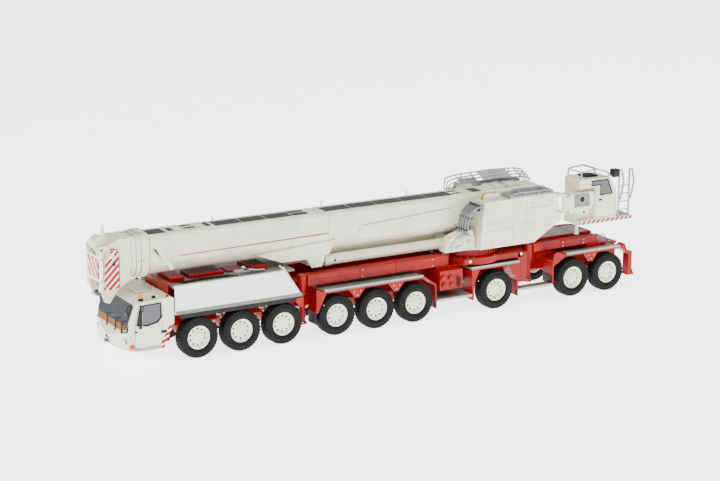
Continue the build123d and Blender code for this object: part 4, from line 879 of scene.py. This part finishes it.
# ---------------------------------------------------------------- carrier
class CRANE_OT_deck(Operator):
    """Carrier deck: engine boxes and bulkhead, exhaust stand, ring table, rear deck panels,
    edge strips of the walkways, ledges and skirts, flaps, bolts and tow fittings"""
    bl_idname = "crane.deck"
    bl_label = "Carrier deck"

    def execute(self, context):
        boxes = slabs((-12, -2, -12, 12, 50.6, 54.6, 0.4), (4, 30, -8.5, 8.5, 50.6, 53.8, 0.4),
                      (50, 63, -11.5, 11.5, 50.6, 54.4, 0.4), (-17.9, -16.7, -18.5, 18.5, 38, 52.6, 0.2),
                      (34, 47, -6, 6, 50.6, 52.4, 0.3))
        ribs = [slab(s, s + 0.8, -y, y, z, z + 0.6) for y, z, row in (
            (7.4, 53.6, np.arange(6.0, 29.0, 2.6)), (10.4, 54.2, np.arange(51.6, 62.0, 2.4))) for s in row]
        piece("engine_boxes", "carrier", (boxes, "red"), (ribs, "pad"))

        cup = [(POLE, 0), (2.2, 0), (2.2, 0.6), (1.3, 1.0), (1.3, 3.2), (1.9, 3.7), (1.9, 4.6), (1.5, 4.9),
               (1.2, 4.4), (POLE, 4.2)]
        drum = [(POLE, 0), (2.4, 0), (2.9, 0.5), (2.9, 11.5), (2.4, 12), (POLE, 12)]
        stand, tank = lathe(cup, (at(43), 12.5, 50.9), 28, 2), lathe(drum, (at(34), -16.5, 53.4), 28, 0)
        pipe = tube([(43, 12.5, 53.0), (47.0, 14.4, 53.6), (52.0, 15.4, 52.6), (58.0, 15.4, 52.4)],
                    1.0, 12, 2.4)
        loop = tube([(43, 14.4, 53.6), (41.0, 17.6, 55.2), (45.0, 17.6, 55.2), (43, 14.4, 53.8)],
                    0.35, 8, 1.0)
        tubes = [tube([(-8 + k, 13.5 + k, 51.4), (10 + k, 12.2 + k, 51.6), (31 + k, 12.6 + k, 51.4)],
                      0.45, 8, 3.0) for k in (0, 1.4, 2.8)]
        piece("exhaust_set", "carrier", ([stand, pipe, tank], "steel"), ([loop, *tubes], "black"))

        table, table_top, bolts_r = [(212.6, 14), (219.5, 26.5), (271.5, 26.5), (277.6, 17.5)], 40.95, 27.0
        table += [(s, -y) for s, y in reversed(table)]
        plate = plan_plate(table, 36.4, table_top, 0.4)
        heads = pair(*[button(s, 26.4, z, 1, 1.1, 0.8, 20) for s, z in ((224.2, 39.0), (270.0, 39.2))])
        small = [bolt(SLEW_S + bolts_r * cos(a), bolts_r * sin(a), table_top - 0.05, 2, 0.5, 0.5)
                 for a in np.arange(36) * pi / 18 if abs(bolts_r * sin(a)) < 25.8]
        piece("ring_table", "carrier", (plate, "red"), (heads, "chrome"), (small, "steel"))

        high, low = 44.72, 33.12
        panels = slabs((266.0, 344.8, -12.3, 12.3, 44.5, high), (345.6, TAIL_S, -10.8, 10.8, 32.9, low))
        rims = [pair(slab(265.6, 345.1, 12.2, 12.9, 43.0, 45.1)), slab(344.4, 345.2, -12.9, 12.9, 43.0, 45.1),
                pair(slab(345.6, TAIL_S + 0.2, 10.7, 11.4, 31.6, 33.5))]
        seams = [tube([(s, -12.0, high), (s, 12.0, high)], 0.14, 6) for s in (288.0, 311.0, 330.0)]
        piece("rear_panels", "carrier", (panels, "wine"), (rims, "red"), (seams, "black"))

        out = BODY + 0.06
        strips = [slab(s0, s1, BODY - 1.2, out, WALK_Z - 0.9, WALK_Z + 0.12)
                  for s0, s1 in ((99.2, 181.7), (224.1, 266.9), (310.9, 361.6))]
        strips += [slab(*box) for box in (
            (194.0, 224.6, BODY - 1.4, out, 12.9, 14.5), (266.05, 297.55, BODY - 1.4, out, 11.3, 12.9),
            (193.9, 195.2, 13.0, BODY, 12.9, 14.5), (223.4, 224.65, 13.0, BODY, 12.9, 14.5))]
        ledge = slab(CAB_REAR + 0.9, 80.6, BODY - 3.1, BODY + 0.45, 33.5, 35.86)
        piece("walkway_edges", "carrier", (pair(*strips), "edge"), (pair(ledge), "deck"))

        skirts = [slab(-13.6, 76.0, BODY - 1.3, BODY + 0.04, 30.2, 33.5)]
        skirts += [side_plate([(s - 5.2, 31.4), (s + 5.2, 31.4), (s + 1.5, 27.1), (s - 1.5, 27.1)],
                              BODY - 0.1, BODY + 0.08, 0.05) for s in (16.5, 49.5)]
        wide, narrow = (17.4, 29.3), (27.9, BODY + 0.05)
        flaps = [slab(s0, s1, *y, z0, z1) for s0, s1, y, z0, z1 in (
            (193.2, 193.8, wide, 7.6, 19.5), (265.8, 266.3, wide, 7.2, 18.0), (92.0, 92.6, wide, 10.0, 19.0),
            (297.1, 297.6, wide, 13.0, 19.0), (373.4, 373.9, (22.6, 29.3), 11.0, 20.4),
            (191.8, 193.5, narrow, 8.5, 12.8), (264.4, 266.0, narrow, 7.9, 12.2))]
        hooks = slab(371.0, 375.6, 25.4, 28.6, 11.0, 13.4, 0.4)
        piece("skirts_and_flaps", "carrier", ([pair(*skirts), pair(*flaps), pair(hooks)], "black"))

        # Three bolts to each axle hanger, half way between two wheels, and one to each rear bracket.
        spots = []
        for s, z in ((16.5, 30.6), (49.5, 30.6), (125.9, 31.2), (158.9, 31.2), (333.7, 31.2)):
            spots += [(s - 2.6, z - 0.6), (s + 2.6, z - 0.6), (s, z - 3.4)]
        spots += [(98.2, 24.0), (230.0, 24.0), (262.0, 24.0)]
        heads = pair(*[bolt(s, BODY - 0.05, z, 1, 0.42, 0.35) for s, z in spots])
        piece("hanger_bolts", "carrier", (heads, "steel"))

        valves = [button(s, 27.9, z, 1, r, 1.4, 24) for s, z, r in (
            (200.0, 29.6, 2.3), (206.4, 29.2, 2.0), (201.2, 24.2, 2.1), (207.4, 24.0, 1.7))]
        valves += [button(s, 29.2, z, 1, 0.9, 0.25) for s, z in ((200.0, 29.6), (201.2, 24.2))]
        lines = [tube([(212.0 + 1.3 * k, 28.2, 21.5), (212.0 + 1.3 * k, 28.4, 30.5 - k)], 0.35, 6)
                 for k in range(3)]
        jaw = slabs((TAIL_S, 375.2, -4.0, 4.0, 26.6, 27.8), (TAIL_S, 375.2, -4.0, 4.0, 22.0, 23.2),
                    (371.0, 372.6, -5.0, 5.0, 20.8, 29.0))
        pin = tube([(374.0, 0, 21.6), (374.0, 0, 29.4)], 0.8, 12)
        piece("valves_and_hitch", "carrier", ([pair(*valves), jaw], "red"), ([pair(*lines), pin], "black"))
        return {"FINISHED"}


# ---------------------------------------------------------------- outriggers
class CRANE_OT_outriggers(Operator):
    """Outriggers: bands, ribs, pins and sleeve rings on each arm, a ring on each foot"""
    bl_idname = "crane.outriggers"
    bl_label = "Outriggers"

    def execute(self, context):
        y, half = 17.2, 4.0
        out, over = y + half, y - half
        for name, pin, leg, z0, z1, foot, reach in (("front", 207.0, 87.4, 37.0, 44.8, 9.0, 74.3),
                                                    ("rear", 344.5, 283.0, 37.4, 43.0, 14.0, 34.0)):
            near, rear_end = pin - reach, pin - 9.6
            thick = joined(slab(near, rear_end, out - 0.6, out + 0.4, z0 + 0.1, z1 + 0.2, 0.2),
                           slab(near, rear_end, over + 0.2, out + 0.4, z1 - 0.2, z1 + 0.2, 0.15),
                           ring(leg, y, z1 - 0.05, 2, 0.6, 3.3, 0.35),
                           ring(leg, y, 31.6, 2, 3.4, 4.0, 1.2, 40))
            rib = slab(leg + 4.0, near, out - 0.1, out + 0.3, z0 + 3.2, z0 + 4.2)
            heads = [button(pin, y, z1 - 0.1, 2, 1.7, 0.5), button(leg, y, z1 + 0.2, 2, 0.8, 0.4)]
            heads += [bolt(s, out + 0.35, z, 1, 0.4, 0.3) for s in (near + 2.0, rear_end - 3.0)
                      for z in (z0 + 1.4, z1 - 1.4)]
            if name == "front":
                s0, s1 = pin - 43.5, pin - 39.5
                band = slabs((s0, s1, out + 0.2, out + 0.7, z0 + 0.4, z1 - 0.2, 0.15),
                             (s0, s1, over + 0.4, out + 0.6, z1 + 0.1, z1 + 0.45, 0.1))
            else:
                band = slab(pin - 30.0, pin - 28.0, out + 0.2, out + 0.7, z0 + 0.6, z1 - 0.4, 0.15)
            shoe = ring(leg, y, foot + 1.15, 2, 2.3, 3.0, 0.35, 32)
            for side in ("left", "right"):
                trim = [joined(thick, rib), joined(*heads), band, shoe]
                if side == "right":
                    trim = [mirrored(form) for form in trim]
                piece(f"outrigger_trim_{name}_{side}", f"arm_{name}_{side}",
                      *zip(trim[:3], ("red", "steel", "red")))
                piece(f"outrigger_shoe_{name}_{side}", f"leg_{name}_{side}", (trim[3], "chrome"))
        return {"FINISHED"}


# ---------------------------------------------------------------- superstructure
class CRANE_OT_house(Operator):
    """Superstructure: hose harness, sheave blocks, walking grids, seams and lids, foot box
    rings, guards and the far side's folded railing"""
    bl_idname = "crane.house"
    bl_label = "Superstructure"

    def execute(self, context):
        hoses = []
        for k in range(9):
            y, lag = 14.9 + 1.55 * k, 1.3 * (k % 2)
            hoses.append(tube([(222.0 - lag, y, 59.0), (220.8 - lag, y, 66.0), (224.4 - lag, y, 76.6),
                               (231.0, y, 80.4 - lag), (236.5, y, 79.0 - lag)], 0.78, 8, 4.0))
        clamps = [slab(s0, s1, 14.2, 27.9, z0, z1, 0.2) for s0, s1, z0, z1 in (
            (219.0, 222.4, 63.0, 64.0), (221.2, 224.6, 71.6, 72.6), (230.4, 231.6, 76.6, 81.6))]
        piece("hose_harness", "superstructure", (pair(*hoses), "hose"), (pair(*clamps), "pad"),
              hides=("hose_bundle",), slot="light_grey")

        wheel = [(POLE, -0.9), (2.2, -0.9), (2.6, -0.8), (2.6, -0.5), (2.0, 0), (2.6, 0.5), (2.6, 0.8),
                 (2.2, 0.9), (POLE, 0.9)]
        sheaves = (241.0, 251.0)
        wheels = pair(*[lathe(wheel, (at(s), 19.0, 85.3), 28, 1) for s in sheaves])
        cheek = [(238.4, HOUSE_TOP), (253.8, HOUSE_TOP), (253.0, 86.4), (251.0, 87.6), (241.0, 87.6),
                 (239.0, 86.4)]
        cheeks = pair(*[side_plate(cheek, y, y + 0.7, 0.2) for y in (16.4, 20.9)])
        pins = pair(*[button(s, 21.5, 85.0, 1, 0.7, 0.4) for s in sheaves])
        piece("sheave_blocks", "superstructure", (wheels, "lime"), (cheeks, "cream"), (pins, "steel"),
              hides=("winches",), slot="cream_paint")

        plate_top = HOUSE_TOP + 2.5
        grids = pair(*[slab(a, b, 15.4, 27.4, plate_top, plate_top + 0.3, 0.05)
                       for a, b in ((260.2, 271.4), (272.6, 283.9), (285.1, 296.4))])
        piece("walking_grids", "superstructure", (grids, "grid"))

        skin = HOUSE_HALF
        lines = pair(seam([(277.5, 81.0), (296.5, 81.0), (296.5, 74.2), (277.5, 74.2)], skin),
                     seam([(238.5, 79.5), (258.0, 79.5), (258.0, 66.0), (236.5, 66.0)], skin, 0.1),
                     tube([(236.0, skin, 60.0), (303.5, skin, 64.6)], 0.1, 6))
        knobs = pair(*[button(s, skin - 0.05, z, 1, 0.6, 0.4)
                       for s, z in ((263.5, 70.0), (272.0, 70.0), (279.5, 77.6), (294.5, 77.6))])
        piece("house_lines", "superstructure", (lines, "pad"), (knobs, "rail"))

        # The boxes at the housing's foot, left and right of the boom, whose outer skin is at y.
        y, hub = 21.4, (225.4, 53.4)
        base = [ring(hub[0], y, hub[1], 1, 1.6, 4.2, 0.9, 40),
                ring(BASE_PIN_S, y, ROD_Z, 1, 0.9, 2.3, 0.9, 28)]
        ribs = [side_plate([(207.0, 50.4), (229.6, 55.4), (229.6, 56.4), (207.0, 51.4)], y, y + 0.6, 0.15),
                slab(206.0, 231.4, y - 0.1, y + 0.8, 46.7, 48.2, 0.2)]
        heads = bolt_circle(hub[0], y + 0.8, hub[1], 3.0, 8, 0.4, 0.4)
        drum = [button(hub[0], y, hub[1], 1, 1.7, 1.3), button(210.5, y, 53.8, 1, 0.9, 0.6)]
        pipes = (((212.0, 21.9, 53.0), (216.0, 22.3, 58.6), (223.0, 22.3, 58.8), (228.0, 22.0, 57.0)),
                 ((214.0, 21.9, 49.2), (217.0, 22.3, 51.4), (220.4, 22.0, 51.0)))
        gear = [slab(214.6, 220.4, y, y + 1.0, 55.4, 57.8, 0.3),
                slab(208.6, 212.6, y, y + 0.8, 49.4, 52.0, 0.3),
                *[tube(line, 0.5, 8, bend) for line, bend in zip(pipes, (2.0, 1.0))]]
        guard = side_plate([(210.8, 57.4), (222.2, 61.2), (229.6, 61.2), (229.6, 60.4), (222.4, 60.4),
                            (211.4, 56.6)], 12.7, y + 0.3, 0.15)
        piece("foot_boxes", "superstructure", (pair(*base, *ribs, guard), "cream"),
              (pair(*heads), "steel"), (pair(*drum, *gear), "rail"))

        # The far side's railing lies folded: four rails up its slope from inner to outer.
        outer, inner, low, high = -27.0, -16.8, 88.4, 93.2
        rails = [tube([(234.5, y, 83.0), (235.5, y, z - 2.4), (245.0, y, z - 0.9), (276.0, y, z),
                       (300.0, y, z - 1.2), (308.0, y, z - 3.6), (304.0, y, 83.2)], 0.55, 8, 2.2)
                 for y, z in ((outer, high), (-23.6, 91.6), (-20.2, 90.0), (inner, low))]
        posts = [tube([(s, inner, low - 0.8), (s, outer, high - 0.8)], 0.5, 8)
                 for s in (244.0, 258.0, 272.0, 286.0, 298.0)]
        posts += [tube([(s, outer, 82.9), (s, outer, high - 0.8)], 0.5, 8) for s in (250.0, 272.0, 294.0)]
        posts += [front_plate([(-26.6, z + 1.9), (-17.2, z - 2.6), (-17.2, z - 2.0), (-26.6, z + 2.5)],
                              s0, s1, 0.1) for s0, s1, z in ((246.0, 262.0, 86.6), (264.0, 290.0, 90.6))]
        near = [tube([(s0, y, 84.0), (s0 + 1.0, y, z), (s1, y, z), (s1 + 2.0, y, 84.0)], 0.5, 8, 1.0)
                for s0, s1, y, z in ((260.5, 295.0, 27.2, 86.4), (262.5, 292.0, 21.6, 87.4),
                                     (266.0, 297.0, 16.2, 86.8))]
        near += [tube([(s, 16.2, 86.6), (s, 27.2, 86.6)], 0.45, 8) for s in (268.0, 279.0, 290.0)]
        piece("far_railing", "superstructure", ([*rails, *posts, *near], "rail"))

        piece("rear_tray", "superstructure", (slab(282.8, 299.0, -12.4, 12.4, 47.2, 48.6, 0.3), "cream"))

        caps = [button(*HINGE, z, 2, 1.3, high) for z, high in ((81.9, 0.5), (66.0, -0.5))]
        piece("hinge_caps", "superstructure", (caps, "steel"))
        return {"FINISHED"}


class CRANE_OT_cylinders(Operator):
    """Lift cylinders: gland rings, port dots and end rings on the barrels"""
    bl_idname = "crane.cylinders"
    bl_label = "Lift cylinders"

    def execute(self, context):
        y, z, gland_s, rear_s = ROD_Y, ROD_Z, 113.4, 207.0
        gland = lathe([(2.5, 0), (4.25, 0), (4.35, 0.4), (4.35, 1.2), (4.1, 1.5), (2.5, 1.5)],
                      (at(gland_s), y, z), 40, 0, loop=True)
        rear = lathe([(3.0, 0), (4.3, 0), (4.3, 1.0), (3.0, 1.0)], (at(rear_s), y, z), 40, 0, loop=True)
        dot = button(gland_s + 4.0, y + 3.75, z, 1, 0.95, 0.4)
        piece("barrel_trim", "lift_barrels", (pair(gland, rear), "cream"), (pair(dot), "black"))
        return {"FINISHED"}


# ---------------------------------------------------------------- crane cab
class CRANE_OT_crane_cab(Operator):
    """Crane operator's cab: window rubbers, striped sill, roof vent, work lamp, and the
    vent grille with its round port on the swing arm"""
    bl_idname = "crane.crane_cab"
    bl_label = "Crane cab"

    def execute(self, context):
        side = [(333.0, 88.4), (348.6, 88.4), (353.4, 76.8), (341.6, 76.8), (341.6, 84.8), (333.0, 84.8)]
        beads = [gasket(side, lambda s, z, y=y: (s, y, z), 0.5, 8) for y in (CCAB_Y1 - 0.04, CCAB_Y0 + 0.04)]

        def screen(y, z):
            """The place on the windscreen's skin at side y and height z."""
            return np.interp(z, [61.0, 78.2, 90.0], [358.0, 357.0, 350.6]), y, z

        heights = np.linspace(64.0, 88.2, 12)
        loop = [(CCAB_Y0 + 1.8, z) for z in heights] + [(CCAB_Y1 - 1.8, z) for z in heights[::-1]]
        wiper = tube([screen(14.0, 65.0), screen(15.0, 70.0), screen(18.0, 80.0)], 0.3, 6)
        door = [(332.0, 89.4), (349.6, 89.4), (356.2, 76.0), (356.6, 59.4), (338.6, 59.4), (338.6, 84.0)]
        handle = side_plate(rounded(3.4, 1.3, 0.5, (341.8, 73.0)), CCAB_Y1 - 0.1, CCAB_Y1 + 0.5)
        beads.append(gasket(loop, screen, 0.5, 8))
        piece("crane_cab_rubbers", "crane_cab", ([*beads, wiper, handle], "black"),
              (seam(door, CCAB_Y1 - 0.02, 0.12), "pad"))

        sill_z = (55.2, 57.8)
        sill = slabs((322.3, 372.2, 28.5, 28.72, *sill_z, 0.05), (372.3, 372.5, 9.0, 28.4, *sill_z, 0.05))
        # Ladder posts and rungs at the rear, then the roof's railing and the lamp's arm.
        y, y0, y1, post_s = CCAB_Y1 - 0.4, CCAB_Y0 + 1.4, CCAB_Y1 - 1.0, (359.6, 369.4)
        bars = [tube([(s, y, 57.9), (s, y, 94.4), (s + 2.4, y, 94.4), (s + 4.6, y, 84.0), (s + 1.6, y, 71.0)],
                     0.72, 10, 1.6) for s in post_s]
        bars += [tube([(s, y, z) for s in post_s], 0.5, 8) for z in (62.9, 69.3, 75.6, 81.8)]
        bars += [tube([(324.0, q, 90.2), (324.0, q, 96.2), (338.5, q, 97.3), (349.4, q, 93.6),
                       (349.4, q, 89.8)], 0.6, 10, 1.4) for q in (y1, y0)]
        bars += [tube([(s, y0, z), (s, y1, z)], 0.55, 8)
                 for s, z in ((324.4, 95.8), (338.5, 97.0), (349.2, 93.4))]
        bars.append(tube([(352.8, y1, 91.0), (350.0, y1, 91.0)], 0.5, 8))
        piece("cab_ladder_and_rails", "crane_cab", (bars, "rail"), hides=("crane_cab_railing",),
              slot="light_grey")
        piece("crane_cab_sill", "crane_cab", (sill, "bars_sill"))

        vent = slab(331.0, 343.0, 12.0, 22.5, 90.0, 91.6, 0.4)
        slats = [slab(s - 0.35, s + 0.35, 12.8, 21.7, 91.5, 91.9) for s in np.arange(332.6, 342.0, 1.6)]
        lamp_at = (CCAB_Y1 - 1.2, 92.5)
        lamp = prism(rounded(6.0, 6.2, 1.0, lamp_at), at(358.8), at(352.8), 0, 0.5)
        lens = prism(rounded(4.8, 5.0, 0.8, lamp_at), at(359.5), at(358.7), 0, 0.15)
        tread = [slab(359.8, 371.6, 10.0 + 3.6 * k, 12.6 + 3.6 * k, 57.9, 58.3) for k in range(5)]
        piece("crane_cab_roof", "crane_cab", ([vent, lamp], "black"), (slats, "pad"), (lens, "lens"),
              (tread, "edge"))

        skin, port = CCAB_Y1, (324.4, 75.4)
        grille = side_plate([(317.6, 79.4), (329.6, 79.4), (330.8, 77.6), (330.8, 70.4), (318.2, 70.4)],
                            skin - 0.1, skin + 0.3, 0.1)
        border = gasket([(317.2, 79.9), (330.0, 79.9), (331.4, 77.8), (331.4, 69.9), (317.6, 69.9)],
                        lambda s, z: (s, skin + 0.1, z), 0.35, 8)
        rim = ring(port[0], skin + 0.25, port[1], 1, 2.3, 3.1, 0.4, 36)
        dark = [button(port[0], skin + 0.2, port[1], 1, 2.35, 0.2, 32),
                button(326.6, skin - 0.05, 64.9, 1, 1.0, 0.15)]
        piece("arm_grille", "cab_arm", (grille, "grille"), ([border, rim], "rail"), (dark, "black"))
        bands = [ring(*HINGE, z, 2, 2.15, 2.5, 1.0, 28) for z in (70.0, 73.6, 77.2)]
        piece("arm_knuckle", "cab_arm", (bands, "cream"))
        return {"FINISHED"}


# ---------------------------------------------------------------- stage
class CRANE_OT_stage(Operator):
    """Lays the pale floor and places the soft lights and the camera"""
    bl_idname = "crane.stage"
    bl_label = "Set the stage"

    def execute(self, context):
        scene, reach = context.scene, 6
        floor_mesh = bpy.data.meshes.new("floor")
        square = [(x * reach, y * reach, 0) for x, y in ((-1, -1), (1, -1), (1, 1), (-1, 1))]
        floor_mesh.from_pydata(square, [], [(0, 1, 2, 3)])
        floor = bpy.data.objects.new("floor", floor_mesh)
        floor_mesh.materials.append(coat("matt_white_board", "#ffffff", "#fdfdfd", 2.0, 0.02, 0.8, 0.03,
                                         Emission_Color=(1, 1, 1, 1), Emission_Strength=3.0))
        scene.collection.objects.link(floor)
        world = bpy.data.worlds.new("studio")
        scene.world = world
        world.use_nodes = True
        sky = world.node_tree.nodes["Background"].inputs
        sky["Color"].default_value, sky["Strength"].default_value = (1.0, 1.0, 1.0, 1.0), 0.7
        # Soft lamps, in metres and watts: the key from the left and above, then the two ends.
        for name, spot, size, watts in (("key", (0.1, 0.9, 1.6), 1.4, 26.0),
                                        ("front", (1.5, 0.3, 0.9), 1.2, 14.0),
                                        ("rear", (-1.2, -0.7, 1.3), 1.2, 8.0)):
            lamp = bpy.data.lights.new(name, "AREA")
            lamp.energy, lamp.size = watts, size
            holder = bpy.data.objects.new(name, lamp)
            holder.location = spot
            holder.rotation_euler = (-Vector(spot)).to_track_quat("-Z", "Y").to_euler()
            scene.collection.objects.link(holder)
        # The camera stands ahead of the cab on the left and looks down on the middle axles.
        lens = bpy.data.cameras.new("camera")
        lens.lens, lens.sensor_width, lens.clip_start = 97.9, 36.0, 0.01
        eye = bpy.data.objects.new("camera", lens)
        spot, aim = Vector((at(-554.7), 1197.0, 416.1)) * MM, Vector((at(145.02), 0.0, 59.1)) * MM
        roll = Matrix.Rotation(radians(0.295), 3, "Z")
        turn = (aim - spot).to_track_quat("-Z", "Y").to_matrix() @ roll
        eye.matrix_world = Matrix.Translation(spot) @ turn.to_4x4()
        scene.collection.objects.link(eye)
        scene.camera = eye
        return {"FINISHED"}


class CRANE_PT_panel(Panel):
    """The crane's sizes, colours and building steps"""
    bl_label = "Mobile crane"
    bl_idname = "CRANE_PT_panel"
    bl_space_type = "VIEW_3D"
    bl_region_type = "UI"
    bl_category = "Crane"

    def draw(self, context):
        for group in (context.scene.crane_colours, context.scene.crane_sizes):
            for name in group.__annotations__:
                self.layout.prop(group, name)
        for step in STEPS:
            self.layout.operator(step.bl_idname)


STEPS = (CRANE_OT_paint, CRANE_OT_wheels, CRANE_OT_boom, CRANE_OT_head, CRANE_OT_cab, CRANE_OT_lamps,
         CRANE_OT_deck, CRANE_OT_outriggers, CRANE_OT_house, CRANE_OT_cylinders, CRANE_OT_crane_cab,
         CRANE_OT_stage)
CLASSES = (CraneColours, CraneSizes) + STEPS + (CRANE_PT_panel,)


def register():
    for item in CLASSES:
        bpy.utils.register_class(item)
    bpy.types.Scene.crane_colours = PointerProperty(type=CraneColours)
    bpy.types.Scene.crane_sizes = PointerProperty(type=CraneSizes)


def unregister():
    del bpy.types.Scene.crane_colours, bpy.types.Scene.crane_sizes
    for item in reversed(CLASSES):
        bpy.utils.unregister_class(item)


def main():
    register()
    for step in STEPS:
        group, name = step.bl_idname.split(".")
        getattr(getattr(bpy.ops, group), name)()


if __name__ == "__main__":
    main()
